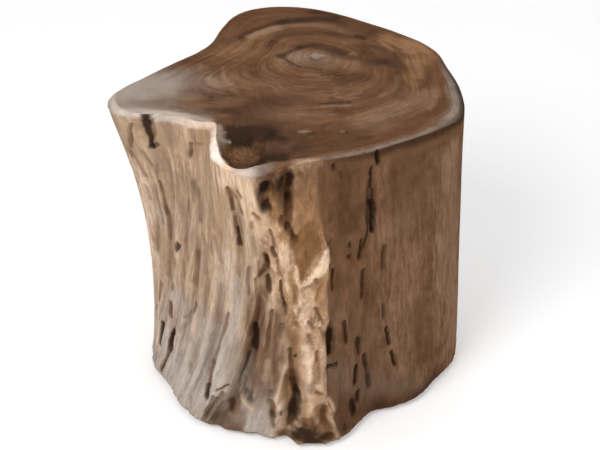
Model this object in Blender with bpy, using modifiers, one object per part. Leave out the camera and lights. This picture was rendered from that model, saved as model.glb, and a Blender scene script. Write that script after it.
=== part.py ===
"""A log stool: one sawn and weathered trunk that stands on four screwed floor glides.

The trunk is a loft through three unlike sections, the butt on the floor side, the waist at half
height and the crown under the seat. Its columns follow the wood's fibres. Grooves, hollows and the
rotted pocket in the seat are pushed into that loft. Each glide is a nylon cup with a felt disc,
held by one countersunk wood screw.

Metres, +Z up, the front of the stool faces -Y, and the origin is on the floor below its middle.
Headings are degrees about +Z, counted from +X, so that 270 is the front.
"""

import math

import bmesh
import bpy
from mathutils import Vector

# Trunk
SEAT_HEIGHT = 0.450
TRUNK_RADIUS = 0.220
RIM_WIDTH = 0.011
RIM_DROP = 0.007
HEEL_WIDTH = 0.003
HEEL_RISE = 0.004

# Grooves and hollows in the wall, whose tables hold shares of these sizes
GROOVE_WIDTH = 0.030
GROOVE_DEPTH = 0.012
GROOVE_END_SHARE = 0.25
HOLLOW_SIZE = 0.040
HOLLOW_DEPTH = 0.020

# Rotted pocket in the seat: a shallow notch in the rim, and a deeper bowl beside it
NOTCH_RADIUS = 0.041
NOTCH_DEPTH = 0.005
NOTCH_INSET = 0.004
NOTCH_HEADING = 261
NOTCH_SLOPE_SHARE = 0.5
BOWL_RADIUS = 0.046
BOWL_DEPTH = 0.025
BOWL_INSET = 0.035
BOWL_HEADING = 248.5
BOWL_SLOPE_SHARE = 0.7

# Floor glides
GLIDE_INSET = 0.055
CUP_WALL = 0.0022
CUP_SINK_LAND = 0.0003
CUP_ROUND = 0.001
FELT_RADIUS = 0.0135
FELT_THICKNESS = 0.003
FELT_ROUND = 0.0005
FELT_RECESS = 0.0015
SCREW_LENGTH = 0.025
SCREW_HEAD_RADIUS = 0.0040
SCREW_HEAD_HEIGHT = 0.0024
SCREW_SHANK_RADIUS = 0.0016
SCREW_THREAD_DEPTH = 0.0005
SCREW_THREAD_PITCH = 0.003
SCREW_TIP = 0.004
SLOT_WIDTH = 0.0012
SLOT_DEPTH = 0.0011
GAP = 0.0003
SINK_CLEARANCE = 0.00045
CUT_OVERRUN = 0.002

# The loft's mesh: columns round the trunk, closer together on the rough front between two
# headings, rows up its wall and rings across the seat
COLUMNS = 150
FRONT_START_HEADING = 190
FRONT_END_HEADING = 325
FRONT_CROWDING_SHARE = 0.9
WALL_ROWS = 30
SEAT_RING_SHARES = (0.94, 0.88, 0.81, 0.74, 0.66, 0.56, 0.35)
BUTT_RING_SHARE = 0.55
TURN_STEPS = 24
SCREW_STEPS = 10
MEASURING_STEPS = 720

# Trunk radius at chosen headings, as shares of TRUNK_RADIUS
CROWN_SHARES = (
    (0, 1.055), (15, 1.027), (28, 1.045), (45, 0.991), (60, 0.973), (75, 1.005), (90, 1.041),
    (104, 1.036), (112, 0.986), (120, 0.886), (131, 0.768), (142, 0.745), (152, 0.777),
    (163, 0.850), (172, 0.941), (179, 1.050), (184, 1.118), (190, 1.127), (195, 1.073), (200, 0.936),
    (206, 0.800), (215, 0.709), (221, 0.641), (227, 0.686), (236, 0.823), (246, 0.859),
    (257, 0.891), (264, 0.827), (275, 0.805), (288, 0.777), (300, 0.786), (315, 0.841),
    (325, 0.905), (335, 0.995), (345, 1.082),
)
WAIST_SHARES = (
    (0, 1.095), (15, 1.064), (30, 1.030), (45, 0.980), (60, 0.960), (75, 0.986), (90, 1.010),
    (105, 0.985), (120, 0.870), (135, 0.785), (150, 0.780), (165, 0.825), (180, 0.885),
    (195, 0.925), (210, 0.850), (225, 0.850), (240, 0.925), (255, 0.930), (270, 0.940),
    (285, 0.935), (300, 0.860), (315, 0.895), (330, 0.995), (345, 1.085),
)
BUTT_SHARES = (
    (0, 1.125), (15, 1.110), (30, 1.060), (45, 1.015), (60, 0.995), (75, 1.005), (90, 1.015),
    (105, 0.985), (120, 0.915), (135, 0.860), (150, 0.855), (165, 0.900), (180, 0.934),
    (197, 0.955), (210, 0.930), (225, 0.988), (241, 1.011), (257, 0.973), (268, 1.018),
    (280, 1.061), (290, 1.030), (297, 0.960), (306, 0.906), (315, 0.964), (325, 1.023),
    (336, 1.043), (348, 1.110),
)

# How far the fibres have turned round the trunk, in degrees, from where they reach the seat
WAIST_TURNS = (
    (0, 0), (60, -1), (100, 0), (150, 3), (180, 5), (200, 7), (225, 7), (245, 5), (260, 3),
    (275, 0), (315, 1), (345, 1),
)
BUTT_TURNS = (
    (0, 2), (60, -3), (100, 1), (135, 4), (165, 1), (195, -4), (225, -8), (245, -14), (257, -14),
    (268, -4), (285, -1), (300, 0), (330, 4),
)

# Long grooves along the fibres: heading at the seat, low end and high end as shares of the
# trunk's height, then width and depth as shares of GROOVE_WIDTH and GROOVE_DEPTH
GROOVE_SHARES = (
    (255.5, -0.10, 0.78, 0.9, 1.1),
    (245, 0.55, 0.95, 0.8, 0.6),
    (237, -0.05, 0.70, 1.0, 0.6),
    (229, 0.05, 0.98, 0.9, 0.4),
    (219, -0.05, 0.92, 1.0, 0.5),
    (209, 0.10, 0.98, 0.9, 0.35),
    (200, 0.25, 0.98, 0.9, 0.5),
    (193, -0.05, 0.65, 0.9, 0.4),
    (184, -0.05, 0.98, 1.1, 0.8),
    (173, -0.05, 0.98, 1.0, 0.8),
    (162, 0.20, 0.98, 1.3, 0.9),
    (149, -0.05, 0.85, 1.2, 0.9),
    (137, -0.05, 0.98, 1.4, 1.2),
    (125, 0.10, 0.98, 1.1, 0.8),
    (111, -0.05, 0.70, 1.2, 0.7),
    (97, 0.30, 0.98, 1.1, 0.6),
    (76, -0.05, 0.90, 1.3, 0.7),
    (53, -0.05, 0.98, 1.2, 0.6),
    (27, 0.10, 0.95, 1.2, 0.5),
    (290, -0.05, 0.72, 0.9, 0.4),
    (271, -0.05, 0.32, 1.0, 1.5),
)

# Rot hollows in the wall: heading, height of the middle as a share of the trunk's height, then
# half width and half height as shares of HOLLOW_SIZE, and depth as a share of HOLLOW_DEPTH
HOLLOW_SHARES = (
    (261, 0.905, 0.36, 0.60, 0.8),
    (269, 0.915, 0.36, 0.85, 0.8),
    (262, 0.610, 0.36, 0.55, 0.7),
    (281, 0.100, 0.42, 0.70, 0.7),
    (146, 0.560, 0.50, 1.20, 0.7),
    (118, 0.230, 0.45, 0.90, 0.5),
    (172, 0.120, 0.50, 0.80, 0.6),
)

# The largest checks and slits, which run straight up the wall, in the same terms
CHECK_SHARES = (
    (306, 0.790, 0.24, 1.20, 0.55),
    (285.3, 0.385, 0.24, 0.80, 0.60),
    (271.5, 0.200, 0.30, 1.10, 0.95),
    (256.3, 0.385, 0.24, 0.90, 0.95),
    (269.5, 0.880, 0.24, 1.00, 0.80),
    (250.2, 0.770, 0.22, 0.80, 0.40),
    (199.8, 0.955, 0.24, 0.75, 0.60),
    (211.0, 0.160, 0.26, 0.90, 0.35),
    (298.6, 0.300, 0.22, 0.60, 0.35),
    (294.3, 0.100, 0.28, 0.45, 0.35),
    (246.5, 0.090, 0.28, 0.50, 0.40),
)

GLIDE_HEADINGS = {
    "front_left": 225,
    "front_right": 318,
    "back_right": 45,
    "back_left": 132,
}

# Heights of the glide's stack, up from the floor
RECESS_CEILING = FELT_THICKNESS + GAP
CUP_FOOT = RECESS_CEILING - FELT_RECESS
SCREW_HEAD_LOW = RECESS_CEILING + GAP
CUP_TOP = SCREW_HEAD_LOW + SCREW_HEAD_HEIGHT + CUP_SINK_LAND
BUTT_HEIGHT = CUP_TOP + GAP
TRUNK_HEIGHT = SEAT_HEIGHT - BUTT_HEIGHT

# Radii that follow from the glide's sizes
CUP_RECESS_RADIUS = FELT_RADIUS + GAP
CUP_RADIUS = CUP_RECESS_RADIUS + CUP_WALL
SCREW_THREAD_RADIUS = SCREW_SHANK_RADIUS + SCREW_THREAD_DEPTH
SCREW_HOLE_RADIUS = SCREW_THREAD_RADIUS + GAP
HEAD_SLOPE = (SCREW_HEAD_RADIUS - SCREW_SHANK_RADIUS) / SCREW_HEAD_HEIGHT


def smooth(share):
    """0 at 0 and below, 1 at 1 and above, and an even S between."""
    share = min(1.0, max(0.0, share))
    return share * share * (3.0 - 2.0 * share)


def around(table, heading):
    """A smooth closed curve through a table's (heading, value) pairs, the first one at heading 0."""
    heading %= 360.0
    count = len(table)
    first = sum(1 for stop, value in table if stop <= heading) - 2
    stops = [table[k % count][0] + 360.0 * (k // count) for k in range(first, first + 4)]
    values = [table[k % count][1] for k in range(first, first + 4)]
    span = stops[2] - stops[1]
    t = (heading - stops[1]) / span
    leave = (values[2] - values[0]) / (stops[2] - stops[0]) * span
    reach = (values[3] - values[1]) / (stops[3] - stops[1]) * span
    step = values[2] - values[1]
    return values[1] + t * (leave + t * (3 * step - 2 * leave - reach + t * (leave + reach - 2 * step)))


def blend(butt, waist, crown, rise):
    """The curve through three values, where rise runs from 0 at the butt over 0.5 at the waist to 1."""
    low = butt * 2 * (rise - 0.5) * (rise - 1)
    middle = waist * 4 * rise * (1 - rise)
    return low + middle + crown * 2 * rise * (rise - 0.5)


def section_radius(heading, rise):
    """Radius of the plain loft."""
    shares = [around(table, heading) for table in (BUTT_SHARES, WAIST_SHARES, CROWN_SHARES)]
    return TRUNK_RADIUS * blend(*shares, rise)


def fibre_heading(fibre, rise):
    """Heading, at a height, of the fibre that reaches the seat at the heading called fibre."""
    return fibre + blend(around(BUTT_TURNS, fibre), around(WAIST_TURNS, fibre), 0.0, rise)


def arc_between(heading, other):
    """Signed length round the trunk from one heading to another."""
    turn = (heading - other + 180.0) % 360.0 - 180.0
    return math.radians(turn) * TRUNK_RADIUS


def groove_depth(fibre, rise):
    """How far the long grooves push the wall in at this place."""
    depth = 0.0
    for middle, low, high, width, deep in GROOVE_SHARES:
        along = (rise - low) / (high - low)
        off = arc_between(fibre, middle) / (width * GROOVE_WIDTH)
        across = max(0.0, 1.0 - (2.0 * off) ** 2) ** 2
        ends = smooth(along / GROOVE_END_SHARE) * smooth((1.0 - along) / GROOVE_END_SHARE)
        depth = max(depth, deep * GROOVE_DEPTH * across * ends)
    return depth


def hollow_depth(heading, rise):
    """How far the rot hollows, checks and slits push the wall in at this place."""
    depth = 0.0
    for middle, height, half_width, half_height, deep in HOLLOW_SHARES + CHECK_SHARES:
        x = arc_between(heading, middle) / (half_width * HOLLOW_SIZE)
        z = (rise - height) * TRUNK_HEIGHT / (half_height * HOLLOW_SIZE)
        depth = max(depth, deep * HOLLOW_DEPTH * max(0.0, 1.0 - x * x - z * z))
    return depth


def on_plan(radius, heading):
    angle = math.radians(heading)
    return Vector((radius * math.cos(angle), radius * math.sin(angle), 0.0))


def wall_point(fibre, rise):
    """Where a fibre lies at a height, as a point of the plan."""
    heading = fibre_heading(fibre, rise)
    pushed_in = max(groove_depth(fibre, rise), hollow_depth(heading, rise))
    return on_plan(section_radius(heading, rise) - pushed_in, heading)


def drawn_in(point, inset):
    """A point of the plan, moved by an inset towards the trunk's axis."""
    return point * (1.0 - inset / point.length)


def dish_depth(point, heading, inset, radius, depth, slope_share):
    """Depth, at a point of the plan, of a round dish that lies a given inset behind the rim."""
    middle = on_plan(section_radius(heading, 1.0) - inset, heading)
    off = (point.xy - middle.xy).length / radius
    return depth * smooth((1.0 - off) / slope_share)


def pocket_depth(point):
    """How far the rotted pocket lowers the seat over a point of the plan."""
    notch = dish_depth(point, NOTCH_HEADING, NOTCH_INSET, NOTCH_RADIUS, NOTCH_DEPTH, NOTCH_SLOPE_SHARE)
    bowl = dish_depth(point, BOWL_HEADING, BOWL_INSET, BOWL_RADIUS, BOWL_DEPTH, BOWL_SLOPE_SHARE)
    return max(notch, bowl)


def at_height(point, height):
    return Vector((point.x, point.y, height))


def seat_point(point):
    return at_height(point, SEAT_HEIGHT - pocket_depth(point))


def trunk_profile(fibre):
    """The trunk's half outline on one fibre, from the butt's flat, up the wall and over the seat."""
    rim_inner = seat_point(drawn_in(wall_point(fibre, 1.0), RIM_WIDTH))
    wall_top = rim_inner.z - RIM_DROP
    wall_bottom = BUTT_HEIGHT + HEEL_RISE
    heel = drawn_in(wall_point(fibre, 0.0), HEEL_WIDTH)
    points = [at_height(heel * BUTT_RING_SHARE, BUTT_HEIGHT), at_height(heel, BUTT_HEIGHT)]
    for row in range(WALL_ROWS + 1):
        height = wall_bottom + (wall_top - wall_bottom) * row / WALL_ROWS
        points.append(at_height(wall_point(fibre, (height - BUTT_HEIGHT) / TRUNK_HEIGHT), height))
    points.append(rim_inner)
    return points + [seat_point(at_height(rim_inner, 0.0) * share) for share in SEAT_RING_SHARES]


def crowding(heading):
    """How much closer together the columns stand at a heading than at the back."""
    on_front = FRONT_START_HEADING < heading < FRONT_END_HEADING
    return 1.0 + FRONT_CROWDING_SHARE * on_front


def even_fibres():
    """Headings at the seat that share its outline into columns, apart from the crowding."""
    headings = [360.0 * k / MEASURING_STEPS for k in range(MEASURING_STEPS + 1)]
    points = [on_plan(section_radius(heading, 1.0), heading) for heading in headings]
    lengths = [0.0]
    for heading, here, after in zip(headings, points, points[1:]):
        lengths.append(lengths[-1] + (after - here).length * crowding(heading))
    fibres = []
    for column in range(COLUMNS):
        length = lengths[-1] * column / COLUMNS
        k = sum(1 for reached in lengths if reached <= length) - 1
        share = (length - lengths[k]) / (lengths[k + 1] - lengths[k])
        fibres.append(headings[k] + (headings[k + 1] - headings[k]) * share)
    return fibres


def material(name, colour, roughness, metallic=0.0):
    made = bpy.data.materials.new(name)
    made.use_nodes = True
    shader = made.node_tree.nodes["Principled BSDF"]
    shader.inputs["Base Color"].default_value = (*colour, 1.0)
    shader.inputs["Roughness"].default_value = roughness
    shader.inputs["Metallic"].default_value = metallic
    return made


def collection(name):
    made = bpy.data.collections.new(name)
    bpy.context.scene.collection.children.link(made)
    return made


def mesh_object(name, bm, group, finish=None, smooth_under=30):
    """A new object from a bmesh, with its faces pointing out."""
    bmesh.ops.recalc_face_normals(bm, faces=bm.faces)
    mesh = bpy.data.meshes.new(name)
    bm.to_mesh(mesh)
    bm.free()
    mesh.shade_smooth()
    mesh.set_sharp_from_angle(angle=math.radians(smooth_under))
    made = bpy.data.objects.new(name, mesh)
    group.objects.link(made)
    if finish:
        mesh.materials.append(finish)
    return made


def turned_object(name, profile, steps, group, finish):
    """A closed profile of (radius, height) points, turned about Z with a Screw modifier."""
    mesh = bpy.data.meshes.new(name)
    count = len(profile)
    edges = [(k, (k + 1) % count) for k in range(count)]
    mesh.from_pydata([(radius, 0.0, height) for radius, height in profile], edges, [])
    made = bpy.data.objects.new(name, mesh)
    group.objects.link(made)
    turn = made.modifiers.new("turn", "SCREW")
    turn.steps = turn.render_steps = steps
    turn.use_merge_vertices = True
    turn.merge_threshold = GAP / 10
    turn.use_smooth_shade = True
    mesh.materials.append(finish)
    return made


def cylinder(radius, low, high, steps):
    """A bmesh cylinder on Z between two heights."""
    bm = bmesh.new()
    size = {"radius1": radius, "radius2": radius, "depth": high - low}
    bmesh.ops.create_cone(bm, cap_ends=True, segments=steps, **size)
    bmesh.ops.translate(bm, verts=bm.verts, vec=(0.0, 0.0, (low + high) / 2))
    return bm


def cut(target, cutter):
    cutter.hide_render = True
    cutter.display_type = "WIRE"
    hole = target.modifiers.new(cutter.name, "BOOLEAN")
    hole.operation = "DIFFERENCE"
    hole.object = cutter


def make_trunk(group, finish):
    """The loft: one profile at each column, joined to the next, and closed at both middles."""
    bm = bmesh.new()
    columns = [[bm.verts.new(point) for point in trunk_profile(fibre)] for fibre in even_fibres()]
    butt_middle = bm.verts.new((0.0, 0.0, BUTT_HEIGHT))
    seat_middle = bm.verts.new((0.0, 0.0, SEAT_HEIGHT))
    for here, after in zip(columns, columns[1:] + columns[:1]):
        bm.faces.new((butt_middle, after[0], here[0]))
        bm.faces.new((seat_middle, here[-1], after[-1]))
        for k in range(len(here) - 1):
            bm.faces.new((here[k], after[k], after[k + 1], here[k + 1]))
    return mesh_object("trunk", bm, group, finish)


def make_felt(place, group, finish):
    disc = cylinder(FELT_RADIUS, 0.0, FELT_THICKNESS, TURN_STEPS)
    felt = mesh_object("glide_felt_" + place, disc, group, finish)
    edge = felt.modifiers.new("edge", "BEVEL")
    edge.width = FELT_ROUND
    edge.segments = 2
    edge.limit_method = "ANGLE"
    return felt


def make_cup(place, group, finish):
    """The nylon cup: the felt's recess below, and a countersunk hole for the screw."""
    sink = SCREW_HEAD_RADIUS + HEAD_SLOPE * GAP + SINK_CLEARANCE
    profile = (
        (SCREW_HOLE_RADIUS, CUP_TOP),
        (CUP_RADIUS - CUP_ROUND, CUP_TOP),
        (CUP_RADIUS, CUP_TOP - CUP_ROUND),
        (CUP_RADIUS, CUP_FOOT + CUP_ROUND),
        (CUP_RADIUS - CUP_ROUND, CUP_FOOT),
        (CUP_RECESS_RADIUS, CUP_FOOT),
        (CUP_RECESS_RADIUS, RECESS_CEILING),
        (sink, RECESS_CEILING),
        (SCREW_HOLE_RADIUS, RECESS_CEILING + (sink - SCREW_HOLE_RADIUS) / HEAD_SLOPE),
    )
    return turned_object("glide_cup_" + place, profile, TURN_STEPS, group, finish)


def screw_profile():
    """Half outline of the screw, from its tip down the thread to the head's flat face."""
    neck = SCREW_HEAD_LOW + SCREW_HEAD_HEIGHT
    tip = SCREW_HEAD_LOW + SCREW_LENGTH
    turns = int((tip - SCREW_TIP - BUTT_HEIGHT) / SCREW_THREAD_PITCH)
    profile = [(0.0, tip), (SCREW_SHANK_RADIUS, tip - SCREW_TIP)]
    for turn in range(turns):
        root = tip - SCREW_TIP - turn * SCREW_THREAD_PITCH
        profile.append((SCREW_THREAD_RADIUS, root - SCREW_THREAD_PITCH / 2))
        profile.append((SCREW_SHANK_RADIUS, root - SCREW_THREAD_PITCH))
    head = [(SCREW_SHANK_RADIUS, neck), (SCREW_HEAD_RADIUS, SCREW_HEAD_LOW), (0.0, SCREW_HEAD_LOW)]
    return profile + head


def make_screw(place, group, cutters, finish):
    """A countersunk wood screw. Its thread is ridges round the shank, and its head has one slot."""
    screw = turned_object("glide_screw_" + place, screw_profile(), SCREW_STEPS, group, finish)
    tall = SLOT_DEPTH + CUT_OVERRUN
    bm = bmesh.new()
    bmesh.ops.create_cube(bm, size=1.0)
    bmesh.ops.scale(bm, verts=bm.verts, vec=(2 * SCREW_HEAD_RADIUS + CUT_OVERRUN, SLOT_WIDTH, tall))
    bmesh.ops.translate(bm, verts=bm.verts, vec=(0.0, 0.0, SCREW_HEAD_LOW + SLOT_DEPTH - tall / 2))
    slot = mesh_object("slot_cutter_" + place, bm, cutters)
    slot.parent = screw
    cut(screw, slot)
    return screw


def make_glide(place, heading, trunk, group, cutters, finishes):
    """One glide at a corner of the butt, and its pilot hole in the trunk."""
    corner = bpy.data.objects.new("glide_" + place, None)
    group.objects.link(corner)
    corner.location = on_plan(section_radius(heading, 0.0) - GLIDE_INSET, heading)
    felt = make_felt(place, group, finishes["felt"])
    cup = make_cup(place, group, finishes["nylon"])
    screw = make_screw(place, group, cutters, finishes["steel"])
    pilot_top = RECESS_CEILING + SCREW_LENGTH + 2 * GAP
    hole = cylinder(SCREW_HOLE_RADIUS, BUTT_HEIGHT - CUT_OVERRUN, pilot_top, SCREW_STEPS)
    pilot = mesh_object("pilot_cutter_" + place, hole, cutters)
    for piece in (felt, cup, screw, pilot):
        piece.parent = corner
    cut(trunk, pilot)


def main():
    for old in list(bpy.data.objects):
        bpy.data.objects.remove(old)
    stool = collection("log_stool")
    cutters = collection("cutters")
    wood = material("weathered_wood", (0.23, 0.13, 0.075), 0.75)
    finishes = {
        "nylon": material("black_nylon", (0.03, 0.03, 0.032), 0.45),
        "felt": material("grey_felt", (0.16, 0.15, 0.14), 0.95),
        "steel": material("zinc_steel", (0.55, 0.55, 0.53), 0.35, 1.0),
    }
    trunk = make_trunk(stool, wood)
    for place, heading in GLIDE_HEADINGS.items():
        make_glide(place, heading, trunk, stool, cutters, finishes)


main()
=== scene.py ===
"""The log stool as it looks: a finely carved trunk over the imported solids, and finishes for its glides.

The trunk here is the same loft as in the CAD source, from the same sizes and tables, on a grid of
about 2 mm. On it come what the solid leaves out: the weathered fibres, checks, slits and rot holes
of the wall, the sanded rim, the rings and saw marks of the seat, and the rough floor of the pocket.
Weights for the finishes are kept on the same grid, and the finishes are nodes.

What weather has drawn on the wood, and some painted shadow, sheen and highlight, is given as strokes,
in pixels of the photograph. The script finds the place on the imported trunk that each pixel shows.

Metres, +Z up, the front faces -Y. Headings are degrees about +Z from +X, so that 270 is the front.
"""
import math
from functools import cache
from itertools import product

import bpy
import numpy as np
from mathutils.bvhtree import BVHTree
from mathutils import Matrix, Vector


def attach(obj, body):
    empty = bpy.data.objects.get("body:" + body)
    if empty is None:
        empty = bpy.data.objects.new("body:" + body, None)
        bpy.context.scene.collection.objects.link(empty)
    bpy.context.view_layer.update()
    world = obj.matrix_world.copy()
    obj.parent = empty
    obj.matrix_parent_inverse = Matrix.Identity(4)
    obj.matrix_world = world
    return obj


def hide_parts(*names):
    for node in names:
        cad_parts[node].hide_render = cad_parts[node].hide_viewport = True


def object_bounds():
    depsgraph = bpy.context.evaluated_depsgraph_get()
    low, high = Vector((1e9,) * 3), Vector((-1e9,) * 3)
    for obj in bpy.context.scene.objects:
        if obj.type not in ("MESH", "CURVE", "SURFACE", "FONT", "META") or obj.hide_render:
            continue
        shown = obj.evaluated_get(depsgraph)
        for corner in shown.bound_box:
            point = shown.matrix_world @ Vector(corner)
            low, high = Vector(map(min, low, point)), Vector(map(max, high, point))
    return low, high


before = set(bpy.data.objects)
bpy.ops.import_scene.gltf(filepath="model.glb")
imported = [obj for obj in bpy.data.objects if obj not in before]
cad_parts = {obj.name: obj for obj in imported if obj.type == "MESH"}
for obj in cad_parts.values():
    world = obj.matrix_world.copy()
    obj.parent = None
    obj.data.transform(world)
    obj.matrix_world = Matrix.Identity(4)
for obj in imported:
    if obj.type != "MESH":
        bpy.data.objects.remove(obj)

CAD_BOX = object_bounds()

# Sizes and tables that the CAD source states too
SEAT_HEIGHT = 0.450
BUTT_HEIGHT = 0.0066
TRUNK_HEIGHT = SEAT_HEIGHT - BUTT_HEIGHT
TRUNK_RADIUS = 0.220
HEEL_WIDTH, HEEL_RISE = 0.003, 0.004
GROOVE_WIDTH, GROOVE_DEPTH, GROOVE_END_SHARE = 0.030, 0.012, 0.25
HOLLOW_SIZE, HOLLOW_DEPTH = 0.040, 0.020
# heading, inset behind the rim, radius, depth, share of the radius that slopes
NOTCH = (261, 0.004, 0.041, 0.005, 0.5)
BOWL = (248.5, 0.035, 0.046, 0.025, 0.7)

CROWN_SHARES = (
    (0, 1.055), (15, 1.027), (28, 1.045), (45, 0.991), (60, 0.973), (75, 1.005), (90, 1.041),
    (104, 1.036), (112, 0.986), (120, 0.886), (131, 0.768), (142, 0.745), (152, 0.777),
    (163, 0.850), (172, 0.941), (179, 1.050), (184, 1.118), (190, 1.127), (195, 1.073), (200, 0.936),
    (206, 0.800), (215, 0.709), (221, 0.641), (227, 0.686), (236, 0.823), (246, 0.859),
    (257, 0.891), (264, 0.827), (275, 0.805), (288, 0.777), (300, 0.786), (315, 0.841),
    (325, 0.905), (335, 0.995), (345, 1.082),
)
WAIST_SHARES = (
    (0, 1.095), (15, 1.064), (30, 1.030), (45, 0.980), (60, 0.960), (75, 0.986), (90, 1.010),
    (105, 0.985), (120, 0.870), (135, 0.785), (150, 0.780), (165, 0.825), (180, 0.885),
    (195, 0.925), (210, 0.850), (225, 0.850), (240, 0.925), (255, 0.930), (270, 0.940),
    (285, 0.935), (300, 0.860), (315, 0.895), (330, 0.995), (345, 1.085),
)
BUTT_SHARES = (
    (0, 1.125), (15, 1.110), (30, 1.060), (45, 1.015), (60, 0.995), (75, 1.005), (90, 1.015),
    (105, 0.985), (120, 0.915), (135, 0.860), (150, 0.855), (165, 0.900), (180, 0.934),
    (197, 0.955), (210, 0.930), (225, 0.988), (241, 1.011), (257, 0.973), (268, 1.018),
    (280, 1.061), (290, 1.030), (297, 0.960), (306, 0.906), (315, 0.964), (325, 1.023),
    (336, 1.043), (348, 1.110),
)
WAIST_TURNS = (
    (0, 0), (60, -1), (100, 0), (150, 3), (180, 5), (200, 7), (225, 7), (245, 5), (260, 3),
    (275, 0), (315, 1), (345, 1),
)
BUTT_TURNS = (
    (0, 2), (60, -3), (100, 1), (135, 4), (165, 1), (195, -4), (225, -8), (245, -14), (257, -14),
    (268, -4), (285, -1), (300, 0), (330, 4),
)
# heading at the seat, low end, high end, width, depth
GROOVE_SHARES = (
    (255.5, -0.10, 0.78, 0.9, 1.1), (245, 0.55, 0.95, 0.8, 0.6), (237, -0.05, 0.70, 1.0, 0.6),
    (229, 0.05, 0.98, 0.9, 0.4), (219, -0.05, 0.92, 1.0, 0.5), (209, 0.10, 0.98, 0.9, 0.35),
    (200, 0.25, 0.98, 0.9, 0.5), (193, -0.05, 0.65, 0.9, 0.4), (184, -0.05, 0.98, 1.1, 0.8),
    (173, -0.05, 0.98, 1.0, 0.8), (162, 0.20, 0.98, 1.3, 0.9), (149, -0.05, 0.85, 1.2, 0.9),
    (137, -0.05, 0.98, 1.4, 1.2), (125, 0.10, 0.98, 1.1, 0.8), (111, -0.05, 0.70, 1.2, 0.7),
    (97, 0.30, 0.98, 1.1, 0.6), (76, -0.05, 0.90, 1.3, 0.7), (53, -0.05, 0.98, 1.2, 0.6),
    (27, 0.10, 0.95, 1.2, 0.5), (290, -0.05, 0.72, 0.9, 0.4), (271, -0.05, 0.32, 1.0, 1.5),
)
# heading, height, half width, half height, depth
HOLLOW_SHARES = (
    (261, 0.905, 0.36, 0.60, 0.8), (269, 0.915, 0.36, 0.85, 0.8), (262, 0.610, 0.36, 0.55, 0.7),
    (281, 0.100, 0.42, 0.70, 0.7), (146, 0.560, 0.50, 1.20, 0.7), (118, 0.230, 0.45, 0.90, 0.5),
    (172, 0.120, 0.50, 0.80, 0.6),
)
CHECK_SHARES = (
    (306, 0.790, 0.24, 1.20, 0.55), (285.3, 0.385, 0.24, 0.80, 0.60), (271.5, 0.200, 0.30, 1.10, 0.95),
    (256.3, 0.385, 0.24, 0.90, 0.95), (269.5, 0.880, 0.24, 1.00, 0.80), (250.2, 0.770, 0.22, 0.80, 0.40),
    (199.8, 0.955, 0.24, 0.75, 0.60), (211.0, 0.160, 0.26, 0.90, 0.35), (298.6, 0.300, 0.22, 0.60, 0.35),
    (294.3, 0.100, 0.28, 0.45, 0.35), (246.5, 0.090, 0.28, 0.50, 0.40),
)

# The fine grid: columns round the trunk, crowded at the front, and rows on each surface
COLUMNS = 672
WALL_ROWS = 196
RIM_ROWS = 6
SEAT_RINGS = 88
BUTT_RINGS = 5
MEASURING_STEPS = 1440
FRONT_CROWDING = 1.0
PITH = (0.039, 0.084)

# Millimetres in a metre
MM = 1000

# The photograph's camera: lift above level in degrees, distance, what it aims at, and its pixels
CAMERA_LIFT = 36
CAMERA_DISTANCE = 2.6
CAMERA_AIM = (0.014, -0.005, 0.225)
SENSOR_WIDTH = 36.0
FOCAL_PIXELS = 1823
PICTURE_WIDTH, PICTURE_HEIGHT = 600, 450
# How far round a pixel that misses the trunk the nearest one is looked for
SEARCH_PIXELS = 8
# The height at which the seat's strokes lie
SEAT_PLANE = 0.4495
# What a pixel measures in mm: level on the wall, across the seat, into its depth, slanting over it
# and in the pocket
LEVEL_MM, ACROSS_MM, DEPTH_MM, SLANT_MM, POCKET_MM = 1.75, 1.43, 2.43, 1.8, 1.35
# How much longer one way a stroke of the wall, and of the seat, runs before it counts as straight
LEVEL_RATIO, STRAIGHT_RATIO = 1.2, 1.3
# A width on the wall is measured over so many pixels and kept between these shares of its own
MEASURED_PIXELS = 3
LEAST_WIDTH_SHARE, MOST_WIDTH_SHARE = 0.9, 2.3

# Light: the world, the floor where it is seen directly, and the lamps, each with its name, size,
# power, heading, lift and distance
WORLD_STRENGTH = 0.38
FLOOR_GLOW = 0.26
LAMP_AIM = (0.0, 0.0, 0.22)
LAMPS = (
    ("key", 1.6, 43, 235, 48, 3.0),
    ("fill", 2.2, 17, 320, 35, 3.2),
    ("top", 2.0, 12.5, 90, 75, 3.0),
)

# How deep the wall is worn, in metres: round ribs, fine fibres and grooves where it is weathered
RIB_DEPTH, FIBRE_DEPTH, GROOVED_DEPTH, SMALL_GROOVED_DEPTH = 0.0011, 0.0003, 0.0014, 0.0005
MEAN_WEAR = 0.0014
# Lumps, crumbs, fibres and grooves on the torn ridge
LUMP_DEPTH, CRUMB_DEPTH, TORN_FIBRE_DEPTH, TORN_GROOVE_DEPTH = 0.0050, 0.0010, 0.0006, 0.0007
MEAN_TEAR = 0.0020
# Ribs and fibres on the plain right side, and the height and depth of the worn foot
PLAIN_RIB_DEPTH, PLAIN_FIBRE_DEPTH = 0.0006, 0.0002
FOOT_HEIGHT, FOOT_DEPTH = 0.055, 0.0015
# The step down from the ridge: its depth, how wide its edge is, and how far beyond it fades
STEP_DEPTH, STEP_EDGE, STEP_FADE = 0.0028, 0.003, 0.018
# The height from which the ridge's edge is soft and has no step
UPPER_HEIGHT = 0.33
# The rim's arch and pits in metres, and how far it wanders as a share of its place
RIM_ARCH, RIM_PITS, RIM_WANDER = 0.0012, 0.0004, 0.0016
# How deep the seat is worn, in metres: rings, broad waves, and the pocket's lumps and crumbs
RING_DEPTH, WAVE_DEPTH, POCKET_LUMP_DEPTH, POCKET_CRUMB_DEPTH = 0.00018, 0.00035, 0.0022, 0.0012
# How far noise frays the edge of any stroke, and how much more that of a soft one
LEAST_FRAY, SOFT_FRAY = 0.18, 0.7
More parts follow.
